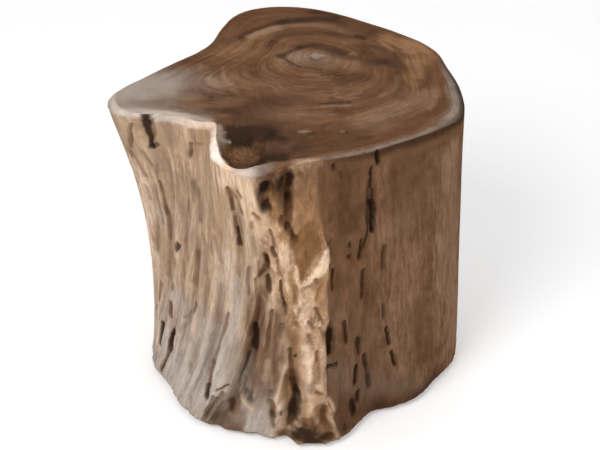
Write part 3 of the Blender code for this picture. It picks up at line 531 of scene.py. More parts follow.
     (0.9, 4, 5, 8, 0.3, 373, 190, 372.5, 199), (1, 8.4, 8.2, 12, 0.22, 371.3, 200, 371.2, 209),
     (1, 6, 5.4, 12, 0.25, 372.7, 208, 372.3, 222, 372.8, 230),
     (0.6, 4, 4, 6, 0.4, 368.3, 212, 367.5, 225, 366.8, 238, 364, 247),
     (0.6, 4.5, 4, 6, 0.45, 361.8, 241, 361, 250, 359.5, 258), (0.3, 5, 4, 3, 0.6, 364, 247, 362, 257)),
    ("deep", (0.75, 5, 5, 3, 0.6, 384.5, 246.5, 383.2, 256, 382.5, 267)),
    ("dark", (0.7, 3, 3.4, 6, 0.35, 333.2, 271, 332.6, 281, 333, 290),
     (0.5, 5, 4.5, 5, 0.5, 363.5, 272, 362.8, 285, 362, 297), (0.5, 3, 3, 4, 0.6, 383, 304, 384.5, 318),
     (0.75, 4, 4.4, 6, 0.35, 344, 322, 345, 332, 346.4, 342),
     (0.85, 3.8, 3.8, 6, 0.3, 357.8, 338.5, 359, 354),
     (0.85, 3.6, 4, 6, 0.3, 387, 329, 388, 337, 389.3, 344),
     (0.92, 4, 4.2, 6, 0.3, 391.4, 352.5, 395.6, 364.5), (0.7, 4.5, 4.5, 5, 0.4, 364.5, 356.5, 366, 366),
     (0.4, 5, 5, 4, 0.6, 366, 365, 368, 377), (0.6, 4.5, 4, 4, 0.5, 367.8, 380, 369.3, 386),
     (0.85, 4.2, 4, 6, 0.3, 356.2, 367.5, 355, 383.5), (0.8, 4.8, 4.6, 6, 0.35, 358, 392, 357.5, 401),
     (0.98, 6, 5.6, 7, 0.25, 351.6, 403, 353, 411), (0.55, 6, 6, 4, 0.5, 345, 426, 345.5, 429),
     (1, 6.6, 6.2, 12, 0.2, 328.4, 331, 328.4, 342), (1, 6.4, 5, 12, 0.25, 328.6, 340, 328.3, 351.5),
     (0.3, 4, 4, 3, 0.6, 324.5, 334, 326, 338),
     (0.85, 3.2, 4.6, 6, 0.35, 328.5, 368, 332, 367.4, 336.4, 364.6)),
    ("shade", (0.5, 5, 5, 2, 0.7, 334, 370, 340, 371)),
)

# The same for the flat seat, with a painted highlight, and then for its pocket, with painted shadow, without
# the depth
SEAT_STROKES = (
    # the grey lobe and the rings beside it
    ("stone", (0.85, 44, 40, 1, 128, 97, 144, 88)),
    ("ash", (0.6, 30, 26, 1, 130, 94, 148, 90), (0.45, 22, 22, 1, 140, 88, 156, 85)),
    ("stone", (0.6, 32, 28, 1, 154, 90, 170, 86), (0.25, 28, 24, 1, 170, 92, 184, 84)),
    ("light", (0.3, 22, 20, 1, 190, 96, 196, 104)),
    ("ash", (0.2, 24, 20, 1, 184, 80, 205, 84)),
    ("shade", (0.4, 10, 8, 1, 162, 101, 184, 98)),
    ("deep", (0.3, 5, 5, 1, 132, 101, 146, 103, 162, 102)),
    ("light", (0.5, 16, 14, 1, 205, 82, 222, 90), (0.4, 5, 4, 1, 201, 66, 199, 76),
     (0.4, 4, 4, 1, 184, 72, 184.5, 85), (0.35, 4, 4, 1, 207, 66, 205, 72),
     (0.4, 3, 3.5, 1, 222, 67, 226, 79, 232, 88, 239, 96), (0.35, 3, 3, 1, 229, 72, 233, 82, 238, 90)),
    ("deep", (0.4, 3, 3, 1, 214, 66, 214, 78), (0.35, 3, 3, 1, 219, 66, 219, 80),
     (0.35, 3.5, 4, 1, 230, 60, 232, 74, 238, 88, 244, 95), (0.45, 9, 9, 1, 188, 91, 199, 94, 211, 98)),
    ("dark", (0.35, 2.6, 2.6, 0.8, 200, 90, 206, 95, 212, 97.5), (0.3, 4, 4, 1, 212, 98, 219, 99)),
    ("deep", (0.4, 7, 7, 1, 240, 58, 256, 51, 269, 48)),
    ("gold", (0.15, 26, 22, 1, 240, 64, 275, 57), (0.2, 20, 20, 1, 230, 52, 250, 46),
     (0.15, 20, 20, 1, 268, 70, 262, 80)),
    # the dark bands in front of the pith
    ("dark", (0.65, 5, 6, 0.8, 208, 110.5, 218, 110, 236, 112), (0.4, 6, 6, 1, 230, 112, 236, 114),
     (0.35, 12, 12, 1, 238, 106, 258, 102, 288, 99)),
    ("deep", (0.5, 14, 14, 1, 246, 112, 262, 108, 296, 98), (0.4, 9, 9, 1, 300, 98, 312, 104),
     (0.55, 12, 10, 1, 240, 120, 264, 122)),
    ("light", (0.25, 10, 8, 1, 218, 104, 240, 100), (0.25, 16, 14, 1, 268, 115, 290, 118)),
    # the back
    ("deep", (0.45, 8, 8, 1, 216, 46, 230, 40, 246, 34)),
    ("dark", (0.7, 4.5, 5.5, 0.7, 240, 37.5, 247, 34, 256, 30, 270, 25.5, 285, 21.5),
     (0.8, 6, 6.5, 0.7, 284, 21.5, 300, 20, 318, 19, 334, 19.5), (0.5, 6, 5, 0.8, 332, 20, 344, 24.5),
     (0.5, 4, 4, 0.8, 311, 11.5, 325, 14, 340, 17.5)),
    ("deep", (0.4, 8, 6, 1, 345, 20, 362, 27, 374, 31)),
    ("light", (0.9, 5.5, 6.5, 0.6, 250, 37, 257, 33.5, 268, 30.5, 277, 28),
     (0.5, 4.5, 4.5, 0.8, 277, 27.5, 292, 26, 312, 25, 332, 26.5),
     (0.3, 4, 4, 1, 232, 52, 246, 43, 262, 37)),
    ("deep", (0.5, 5, 5, 0.9, 278, 37, 296, 34.5, 320, 32.5, 336, 33.5),
     (0.7, 4.5, 4, 0.8, 336, 33.5, 355, 37, 363, 38, 373, 31.5)),
    ("dark", (0.7, 4, 4, 0.6, 358, 37, 362, 38.5)),
    ("light", (0.3, 5, 5, 1, 340, 30, 350, 33), (0.25, 5, 5, 1, 346, 42, 358, 41)),
    # the diamond at the pith
    ("light", (0.4, 18, 16, 0.9, 294, 57, 328, 60)),
    ("ash", (0.12, 14, 12, 0.8, 294, 57.5, 322, 57)),
    ("light", (0.25, 8, 6, 0.9, 326, 67, 341, 64, 350, 61)),
    ("ash", (0.4, 5, 5, 0.8, 316, 55.5, 320, 56)),
    ("dark", (0.45, 2, 2, 0.6, 311, 58, 316, 60.5, 322, 59), (0.35, 1.6, 1.6, 0.6, 320, 57, 325, 57.5),
     (0.85, 5.5, 5, 0.6, 280.5, 56, 283, 55.5), (0.65, 3, 4, 0.7, 284, 54, 293, 50.5, 301, 47.5),
     (0.75, 5, 6, 0.7, 301, 47.5, 312, 45.5, 322, 46.5)),
    ("deep", (0.85, 5, 7, 0.8, 320, 46.5, 332, 49, 342, 53)),
    ("dark", (0.45, 9, 8, 0.8, 336, 52, 343, 55), (0.6, 2.6, 2.6, 0.7, 284.5, 58, 291, 63.5, 299, 66.8),
     (0.45, 2.2, 2, 0.8, 299, 66.8, 311, 68.8, 322, 69.8)),
    ("deep", (0.5, 5, 5, 0.8, 286, 60, 292, 65)),
    # beyond the pith
    ("dark", (0.55, 5.5, 5, 0.7, 352, 58.5, 356.5, 58.5)),
    ("light", (0.4, 2, 2, 0.7, 350, 54, 354, 52.5, 359, 54)),
    ("deep", (0.35, 4, 4, 0.9, 362, 43, 364, 52), (0.7, 3.5, 3.5, 0.8, 365, 46, 375, 46.5, 384, 49.5),
     (0.5, 4, 4, 0.9, 384, 50, 392, 58)),
    ("light", (0.4, 5, 4, 1, 380, 40, 392, 50)),
    ("deep", (0.9, 9, 9, 0.8, 370, 62, 393, 62.5)),
    ("dark", (0.35, 6, 6, 0.9, 373, 62, 377, 62), (0.35, 7, 6, 0.9, 386, 62, 391, 64)),
    ("deep", (0.8, 7, 6, 0.8, 396, 66, 402, 68)),
    ("dark", (0.4, 5, 6, 0.9, 397, 72, 398, 77)),
    ("gold", (0.5, 9, 10, 0.9, 388, 38, 402, 43, 416, 50), (0.5, 16, 18, 1, 414, 46, 428, 56),
     (0.5, 14, 12, 1, 416, 62, 416, 76), (0.25, 14, 14, 1, 405, 78, 414, 86)),
    ("light", (0.8, 2.6, 3, 0.7, 403, 46.5, 409, 50, 413.5, 54)),
    ("deep", (0.3, 6, 6, 1, 428, 56, 434, 62), (0.4, 5, 5, 1, 430, 72, 428, 82, 418, 90),
     (0.35, 5, 5, 1, 406, 84, 410, 90, 402, 97), (0.4, 8, 6, 1, 338, 84, 348, 78, 357, 73)),
    ("dark", (0.4, 5, 4, 0.9, 340, 84, 345, 85), (0.35, 4, 4, 0.9, 353, 75, 357, 73)),
    ("light", (0.35, 9, 8, 1, 383, 94, 396, 87, 398, 78)),
    ("deep", (0.35, 4, 4, 1, 390, 76, 389, 84, 380, 92)),
    # saw marks and small marks in the middle
    ("light", (0.4, 2, 2, 0.7, 305, 74, 318, 74.5), (0.45, 2, 2, 0.6, 320, 77.5, 333, 76),
     (0.4, 1.8, 1.8, 0.6, 303, 79, 330, 80)),
    ("dark", (0.5, 1.6, 1.6, 0.6, 322, 76, 331, 75.5), (0.4, 1.6, 1.6, 0.6, 335, 75, 343, 75.5),
     (0.55, 1.8, 1.8, 0.6, 325, 89.5, 331, 89.5), (0.6, 1.8, 1.8, 0.6, 326, 93, 332, 93.2),
     (0.5, 2.2, 2, 0.6, 341, 91.5, 350, 90.8), (0.5, 2.6, 2.2, 0.7, 331, 98.3, 336, 98),
     (0.75, 1.6, 1.7, 0.5, 319, 103.6, 336, 103.4, 350, 102.4), (0.45, 3, 2.6, 0.8, 331, 102, 341, 101)),
    ("light", (0.55, 1.6, 1.5, 0.6, 322, 106.3, 338, 106, 351, 105.2),
     (0.45, 1.6, 1.6, 0.6, 336, 97, 350, 98.6, 357, 97.6), (0.45, 1.6, 1.6, 0.6, 349, 95.5, 362, 92.5),
     (0.3, 2, 2, 0.8, 314, 108, 334, 107.5)),
    ("deep", (0.4, 5, 5, 1, 336, 110, 345, 111)),
    ("light", (0.35, 6, 5, 0.9, 304, 114, 331, 114)),
    ("deep", (0.4, 3, 3, 0.8, 302, 117, 318, 119), (0.6, 4, 3.5, 0.7, 322, 127.5, 329, 123.5)),
    # A small painted highlight: the short pale line from x 299 to 309
    ("cream", (0.42, 2.2, 2, 0.6, 299.5, 131.4, 309, 131.8)),
    ("dark", (0.8, 2.8, 2.6, 0.5, 309.5, 133.6, 314, 133)),
    ("cream", (0.25, 3, 3, 0.7, 342, 131, 343.5, 131.8)),
    ("dark", (0.7, 3, 3, 0.5, 346.2, 132, 346.8, 132.4)),
    ("light", (0.3, 1.8, 1.8, 0.7, 285.5, 117, 286, 134), (0.5, 14, 16, 1, 362, 122, 378, 120),
     (0.45, 14, 10, 1, 384, 114, 402, 109), (0.25, 14, 12, 1, 420, 102, 436, 92),
     (0.15, 20, 20, 1, 300, 90, 350, 92), (0.25, 20, 18, 1, 250, 78, 275, 84),
     (0.3, 18, 16, 1, 402, 104, 424, 98)),
    ("deep", (0.4, 8, 7, 1, 236, 122, 280, 124)),
    ("light", (0.15, 26, 22, 1, 355, 62, 372, 78)),
    ("deep", (0.4, 22, 20, 1, 296, 145, 345, 142), (0.25, 16, 14, 1, 350, 138, 385, 136),
     (0.3, 8, 8, 1, 300, 139, 292, 139), (0.3, 6, 5, 1, 370, 97, 360, 96),
     (0.3, 4, 4, 1, 395, 98, 404, 98), (0.3, 5, 5, 1, 374, 107, 366, 108)),
    ("dark", (0.3, 3, 3, 0.8, 360, 138, 370, 137)),
    ("deep", (0.15, 3, 3, 1, 440, 84, 441, 98, 436, 112, 424, 124)),
    ("light", (0.25, 3, 3, 1, 434, 86, 435, 98, 430, 110)),
    # paler along the rim
    ("drab", (0.3, 8, 8, 1, 128, 104, 150, 104, 172, 107),
     (0.5, 8, 8, 1, 150, 106.5, 172, 107.5, 192, 111.5, 205, 115)),
    ("shade", (0.1, 6, 6, 1, 160, 104, 180, 105, 198, 109)),
    ("bone", (0.6, 6, 6, 1, 120, 112, 146, 111, 172, 113, 192, 117, 208, 121),
     (0.7, 4, 4, 0.8, 146, 113, 160, 113, 172, 114.5, 188, 117.5, 208, 122.5)),
    ("drab", (0.45, 8, 9, 1, 449, 85, 453, 97, 452, 109, 443, 121, 430, 127)),
)

POCKET_STROKES = (
    # in the rotted pocket
    ("deep", (0.85, 66, 66, 0.9, 230, 142, 274, 144)),
    ("brown", (0.85, 22, 20, 0.8, 236, 150, 256, 151)),
    ("amber", (0.45, 15, 13, 0.9, 232, 149.5, 254, 150.5)),
    ("light", (0.15, 4, 4, 0.9, 234, 150, 247, 150.5)),
    ("deep", (0.5, 18, 16, 0.9, 266, 147, 292, 148)),
    ("shade", (0.2, 5, 5, 0.9, 268, 146, 290, 149)),
    # Painted shadow: the dark strokes across the pocket's far wall, y 127 to 139, and the last two, a band
    # just behind the front lip; the others are dark marks of the rot
    ("dark", (0.6, 8, 8, 0.9, 231, 127, 249, 127), (0.95, 17, 15, 0.6, 231, 132, 247, 132),
     (0.9, 7, 7, 0.6, 228, 137.5, 251, 137.5), (0.5, 5, 4, 0.7, 226, 146, 231, 148),
     (0.4, 14, 12, 0.9, 254, 130, 256, 137), (0.95, 19, 16, 0.7, 264, 131, 271, 133.5),
     (0.95, 12, 8, 0.6, 270, 134, 276, 136.5, 283, 138.5), (0.35, 3, 3, 0.9, 238, 151, 262, 152),
     (0.4, 3, 3, 0.9, 234, 156, 250, 157.5), (0.5, 5, 5, 0.7, 256, 147, 264, 149),
     (0.85, 5, 5, 0.5, 252, 163.5, 260, 162), (0.95, 10, 10, 0.6, 262, 159, 275, 158, 284, 156.5)),
    ("stone", (0.6, 7, 6, 0.8, 217, 126, 217, 150), (0.8, 6, 5, 0.8, 220, 128, 219.5, 148)),
    ("shade", (0.5, 4, 4, 0.9, 223.5, 130, 223, 147)),
    ("stone", (0.95, 4.5, 3, 0.6, 219, 139, 228.5, 139)),
    ("drab", (0.7, 3.5, 2, 0.6, 219, 131, 226, 131.5)),
    ("cream", (0.8, 7, 5, 0.9, 216, 151, 219, 156, 225, 161)),
    ("brown", (0.4, 6, 6, 0.9, 288, 146, 296, 140)),
)

# Rot in the pocket: place, half width, half depth, depth in mm
POCKET_PITS = ((-66, -112, 30, 16, 3), (-28, -110, 20, 10, 3), (-58, -152, 16, 9, 2))


def colour(red, green, blue):
    """The linear colour of an 8-bit screen colour."""
    shares = np.array((red, green, blue)) / 255
    linear = np.where(shares <= 0.04045, shares / 12.92, ((shares + 0.055) / 1.055) ** 2.4)
    return (*linear.tolist(), 1.0)


def paint_of(tone):
    return np.array(colour(*TONES[tone])[:3])


# The loft, as in the CAD source, over whole arrays


def smooth(share):
    share = np.clip(share, 0.0, 1.0)
    return share * share * (3.0 - 2.0 * share)


def around(table, heading):
    """A smooth closed curve through a table's (heading, value) pairs, the first one at heading 0."""
    heading = np.mod(heading, 360.0)
    stops, values = np.array(table, float).T
    count = len(stops)
    first = np.searchsorted(stops, heading, side="right") - 2
    x = [stops[(first + k) % count] + 360.0 * ((first + k) // count) for k in range(4)]
    v = [values[(first + k) % count] for k in range(4)]
    span = x[2] - x[1]
    t = (heading - x[1]) / span
    leave = (v[2] - v[0]) / (x[2] - x[0]) * span
    reach = (v[3] - v[1]) / (x[3] - x[1]) * span
    step = v[2] - v[1]
    return v[1] + t * (leave + t * (3 * step - 2 * leave - reach + t * (leave + reach - 2 * step)))


def blend(butt, waist, crown, rise):
    low = butt * 2 * (rise - 0.5) * (rise - 1)
    return low + waist * 4 * rise * (1 - rise) + crown * 2 * rise * (rise - 0.5)


def section_radius(heading, rise):
    shares = [around(table, heading) for table in (BUTT_SHARES, WAIST_SHARES, CROWN_SHARES)]
    return TRUNK_RADIUS * blend(*shares, rise)


def fibre_heading(fibre, rise):
    return fibre + blend(around(BUTT_TURNS, fibre), around(WAIST_TURNS, fibre), 0.0, rise)


def arc_between(heading, other):
    return np.radians((heading - other + 180.0) % 360.0 - 180.0) * TRUNK_RADIUS


def groove_depth(fibre, rise):
    depth = np.zeros(np.broadcast(fibre, rise).shape)
    for middle, low, high, width, deep in GROOVE_SHARES:
        along = (rise - low) / (high - low)
        off = arc_between(fibre, middle) / (width * GROOVE_WIDTH)
        across = np.maximum(0.0, 1.0 - (2.0 * off) ** 2) ** 2
        ends = smooth(along / GROOVE_END_SHARE) * smooth((1.0 - along) / GROOVE_END_SHARE)
        depth = np.maximum(depth, deep * GROOVE_DEPTH * across * ends)
    return depth


def hollow_depth(heading, rise):
    depth = np.zeros(np.broadcast(heading, rise).shape)
    for middle, height, half_width, half_height, deep in HOLLOW_SHARES + CHECK_SHARES:
        x = arc_between(heading, middle) / (half_width * HOLLOW_SIZE)
        z = (rise - height) * TRUNK_HEIGHT / (half_height * HOLLOW_SIZE)
        depth = np.maximum(depth, deep * HOLLOW_DEPTH * np.maximum(0.0, 1.0 - x * x - z * z))
    return depth


def on_plan(radius, heading):
    angle = np.radians(heading)
    return np.stack((radius * np.cos(angle), radius * np.sin(angle)), -1)


def loft_radius(fibre, rise):
    heading = fibre_heading(fibre, rise)
    pushed_in = np.maximum(groove_depth(fibre, rise), hollow_depth(heading, rise))
    return section_radius(heading, rise) - pushed_in, heading


def dish_depth(plan, heading, inset, radius, depth, slope_share):
    middle = on_plan(section_radius(heading, 1.0) - inset, heading)
    off = np.linalg.norm(plan - middle, axis=-1) / radius
    return depth * smooth((1.0 - off) / slope_share)


def pocket_depth(plan):
    return np.maximum(dish_depth(plan, *NOTCH), dish_depth(plan, *BOWL))


# Where the photograph's pixels lie on the stool


def sight_line(x, y):
    """The eye of the photograph's camera, and which way a point of the photograph lies from it."""
    lift = math.radians(CAMERA_LIFT)
    right, down = x - PICTURE_WIDTH / 2, y - PICTURE_HEIGHT / 2
    eye = np.array(CAMERA_AIM) + CAMERA_DISTANCE * np.array((0.0, -math.cos(lift), math.sin(lift)))
    ahead = FOCAL_PIXELS * math.cos(lift) - down * math.sin(lift)
    above = -FOCAL_PIXELS * math.sin(lift) - down * math.cos(lift)
    return eye, np.array((right, ahead, above))


@cache
def packed_trunk():
    """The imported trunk, ready to be met by lines of sight."""
    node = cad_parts["trunk"]
    corners = [node.matrix_world @ corner.co for corner in node.data.vertices]
    return BVHTree.FromPolygons(corners, [tuple(face.vertices) for face in node.data.polygons])


@cache
def pixel_place(column, row):
    """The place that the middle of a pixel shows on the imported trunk, or None."""
    place = packed_trunk().ray_cast(*sight_line(column + 0.5, row + 0.5))[0]
    return None if place is None else np.array(place)


def wall_place(x, y):
    """The place that a point of the photograph shows on the trunk, or else the nearest one seen."""
    column, row = math.floor(x - 0.5), math.floor(y - 0.5)
    right, down = x - 0.5 - column, y - 0.5 - row
    corners = [pixel_place(column + i, row + j) for j in (0, 1) for i in (0, 1)]
    if all(corner is not None for corner in corners):
        shares = ((1 - right) * (1 - down), right * (1 - down), (1 - right) * down, right * down)
        return sum(corner * share for corner, share in zip(corners, shares))
    rows, columns = (range(int(v) - SEARCH_PIXELS, int(v) + SEARCH_PIXELS + 1) for v in (y, x))
    seen = [at for at in product(rows, columns) if pixel_place(at[1], at[0]) is not None]
    row, column = min(seen, key=lambda at: (at[1] + 0.5 - x) ** 2 + (at[0] + 0.5 - y) ** 2)
    return pixel_place(column, row)


def seat_place(x, y):
    """The place that a point of the photograph shows on the flat seat."""
    eye, way = sight_line(x, y)
    return eye + (SEAT_PLANE - eye[2]) / way[2] * way


def heading_of(place):
    return math.degrees(math.atan2(place[1], place[0])) % 360


def width_round(x, y, width):
    """The width in mm, round the trunk, of so many pixels across at a point of the photograph."""
    left, right = (heading_of(wall_place(x + side * MEASURED_PIXELS / 2, y)) for side in (-1, 1))
    turn = abs((right - left + 180) % 360 - 180)
    measured = turn / MEASURED_PIXELS * width * math.pi / 180 * (TRUNK_RADIUS * MM)
    return min(max(measured, width * LEAST_WIDTH_SHARE), width * MOST_WIDTH_SHARE)


def typed_rows(table):
    """Each stroke of a table: its tone, its values and its points, and how far they run each way."""
    for tone, *rows in table:
        for row in rows:
            values = len(row) % 2 + 4
            points = list(zip(row[values::2], row[values + 1::2]))
            (first_x, first_y), (last_x, last_y) = points[0], points[-1]
            yield tone, row[:values], points, abs(last_x - first_x), abs(last_y - first_y)


def wall_strokes():
    """The wall's strokes: tone, amount, half widths and depth in mm, softness, headings and heights."""
    for tone, (amount, start, end, depth, soft), points, across, down in typed_rows(WALL_STROKES):
        if across > LEVEL_RATIO * down:
            widths = start * LEVEL_MM, end * LEVEL_MM
        else:
            widths = width_round(*points[0], start), width_round(*points[-1], end)
        places = [wall_place(*point) for point in points]
        line = [(round(heading_of(place), 1), round(place[2] * MM)) for place in places]
        yield tone, amount, *(round(width / 2, 1) for width in widths), depth, soft, line


def seat_strokes():
    """The seat's strokes in the same form, without depth, and with x and y in mm."""
    for table, where in ((SEAT_STROKES, seat_place), (POCKET_STROKES, wall_place)):
        for tone, (amount, start, end, soft), points, across, down in typed_rows(table):
            across, down = across * ACROSS_MM, down * DEPTH_MM
            # A width is seen square to its stroke
            if table is POCKET_STROKES:
                scale = POCKET_MM
            elif across > STRAIGHT_RATIO * down:
                scale = DEPTH_MM
            elif down > STRAIGHT_RATIO * across:
                scale = ACROSS_MM
            else:
                scale = SLANT_MM
            line = [tuple(round(v * MM) for v in where(*point)[:2]) for point in points]
            yield tone, amount, round(start * scale / 2, 1), round(end * scale / 2, 1), 0, soft, line


# Noise and drawn features


def noise(places, seed):
    """Smooth noise from about -1 to 1 at each place, one feature to a unit."""
    rng = np.random.default_rng(seed)
    order = rng.permutation(256)
    slopes = rng.normal(size=(256, 3))
    slopes /= np.linalg.norm(slopes, axis=1, keepdims=True)
    cell = np.floor(places).astype(int)
    off = places - cell
    ease = off**3 * (off * (off * 6 - 15) + 10)
    total = np.zeros(places.shape[:-1])
    for corner in product((0, 1), repeat=3):
        at = (cell + corner) & 255
        pick = order[(order[(order[at[..., 0]] + at[..., 1]) & 255] + at[..., 2]) & 255]
        weight = np.where(corner, ease, 1 - ease).prod(-1)
        total += weight * (slopes[pick] * (off - corner)).sum(-1)
    return total * 1.5


def streaks(place, width, stretch, seed):
    """Noise that is drawn out along Z."""
    return noise(place / (width, width, width * stretch), seed)


def blurred(grid, rows, columns):
    """The mean round each point of a grid that closes on itself sideways."""
    for axis, reach, mode in ((0, rows, "edge"), (1, columns, "wrap")):
        pad = [(0, 0), (0, 0)]
        pad[axis] = (reach + 1, reach)
        summed = np.cumsum(np.pad(grid, pad, mode=mode), axis=axis)
        count = summed.shape[axis]
        high = np.take(summed, range(2 * reach + 1, count), axis=axis)
        low = np.take(summed, range(0, count - 2 * reach - 1), axis=axis)
        grid = (high - low) / (2 * reach + 1)
    return grid


def line_share(x, z, line, half_start, half_end):
    """1 on a line of points, 0 at its edge, below 0 beyond. x and z are arrays, all in mm."""
    line = np.array(line, float)
    steps = np.linalg.norm(np.diff(line, axis=0), axis=1)
    reached = np.concatenate(([0.0], np.cumsum(steps))) / max(steps.sum(), 1e-6)
    best = np.full(x.shape, -9.0)
    for k, step in enumerate(steps):
        (ax, az), (bx, bz) = line[k], line[k + 1]
        along = np.clip(((x - ax) * (bx - ax) + (z - az) * (bz - az)) / step**2, 0, 1)
        away = np.hypot(x - ax - along * (bx - ax), z - az - along * (bz - az))
        share = reached[k] + (reached[k + 1] - reached[k]) * along
        best = np.maximum(best, 1 - away / (half_start + (half_end - half_start) * share))
    return best


def laid(strokes, x_of, z, ragged):
    """Strokes laid over a surface: how much they cover, their mixed tone, what they carve and raise.

    x_of gives the places across for one stroke, and its own points in the same measure, in mm.
    ragged is noise that frays the edges, the more the softer they are."""
    cover, carved, raised = (np.zeros(z.shape) for _ in range(3))
    paint = np.zeros(z.shape + (3,))
    for tone, amount, half_start, half_end, depth, soft, line in strokes:
        x, line = x_of(line)
        reach = max(half_start, half_end) * (1 + 1.6 * soft) + 3
        (low_x, low_z), (high_x, high_z) = np.min(line, axis=0) - reach, np.max(line, axis=0) + reach
        near = (x > low_x) & (x < high_x) & (z > low_z) & (z < high_z)
        share = line_share(x[near], z[near], line, half_start, half_end)
        share = share + (LEAST_FRAY + SOFT_FRAY * soft) * ragged[near]
        alpha = amount * smooth(0.5 + 0.5 * share / soft)
        paint[near] = paint[near] * (1 - alpha[:, None]) + paint_of(tone) * alpha[:, None]
        cover[near] = cover[near] * (1 - alpha) + alpha
        if depth > 0:
            carved[near] = np.maximum(carved[near], depth * np.clip(share, 0, 1) ** 0.65)
        elif depth < 0:
            raised[near] = np.maximum(raised[near], -depth * smooth(share))
    return cover, paint, carved, raised


# The trunk


def even_fibres():
    """Headings at the seat of the grid's columns, closer together where the photograph looks."""
    headings = np.linspace(0.0, 360.0, MEASURING_STEPS + 1)
    steps = np.linalg.norm(np.diff(on_plan(section_radius(headings, 1.0), headings), axis=0), axis=1)
    middles = (headings[1:] + headings[:-1]) / 2
    crowded = 1.0 + FRONT_CROWDING * smooth((middles - 180) / 20) * smooth((350 - middles) / 20)
    reached = np.concatenate(([0.0], np.cumsum(steps * crowded)))
    return np.interp(np.arange(COLUMNS) / COLUMNS * reached[-1], reached, headings)


def weathering(round_place, height, heading):
    """How far each place is bleached and belongs to the ridge, and what marks the ridge's right edge."""
    wander = noise(round_place / 0.030, 11)
    bleach = np.clip(around(BLEACH_SHARES, heading + 3.0 * wander * (heading % 360 < 262)), 0, 1)
    edge = np.interp(height * MM, *zip(*RIDGE_EDGE)) + 0.6 * streaks(round_place, 0.010, 2, 12)
    right_of_edge = np.radians((heading % 360) - edge) * TRUNK_RADIUS
    near_edge = np.abs(right_of_edge) < 0.08
    upper = smooth((height - UPPER_HEIGHT) / 0.03)
    at_edge = smooth(0.5 - right_of_edge / (0.004 + 0.014 * upper))
    bleach = np.where(near_edge, np.clip(bleach, 0.85, 1) * at_edge, bleach)
    start = np.interp(height * MM, *zip(*RIDGE_START))
    ridge = smooth((heading % 360 - start - 2 * wander) / 5) * at_edge
    beyond = np.exp(-np.maximum(right_of_edge, 0) / STEP_FADE)
    step = STEP_DEPTH * smooth(0.5 + right_of_edge / STEP_EDGE) * beyond
    step = np.where(near_edge, step, 0) * smooth((height - 0.02) / 0.03) * (1 - upper)
    return wander, bleach, ridge, step


def worn_relief(place, round_place, height, bleach, ridge):
    """How far the surface lies in: round ribs and narrow grooves, rough on the ridge, plain at the right."""
    ribs = streaks(place, 0.017, 9, 21)
    fine = streaks(place, 0.0060, 12, 22)
    creases = smooth(1 - np.abs(streaks(place, 0.024, 9, 23)) / 0.16)
    small_creases = smooth(1 - np.abs(streaks(place, 0.012, 9, 24)) / 0.14)
    weathered = RIB_DEPTH * (1 - ribs) + FIBRE_DEPTH * fine + GROOVED_DEPTH * creases
    weathered = weathered + SMALL_GROOVED_DEPTH * small_creases - MEAN_WEAR
    lumps = noise(round_place / (0.016, 0.016, 0.034), 25)
    crumbs = noise(round_place / (0.0075, 0.0075, 0.014), 26)
    rough = LUMP_DEPTH * np.abs(lumps) + CRUMB_DEPTH * crumbs + TORN_FIBRE_DEPTH * fine
    rough = rough + TORN_GROOVE_DEPTH * small_creases - MEAN_TEAR
    plain = PLAIN_RIB_DEPTH * streaks(place, 0.030, 5, 27) + PLAIN_FIBRE_DEPTH * fine
    relief = plain * (1 - bleach) + weathered * bleach * (1 - ridge) + rough * ridge
    foot = smooth((FOOT_HEIGHT - height) / 0.05)
    return relief, FOOT_DEPTH * foot * (np.abs(noise(round_place / 0.013, 28)) + 0.4 * crumbs)


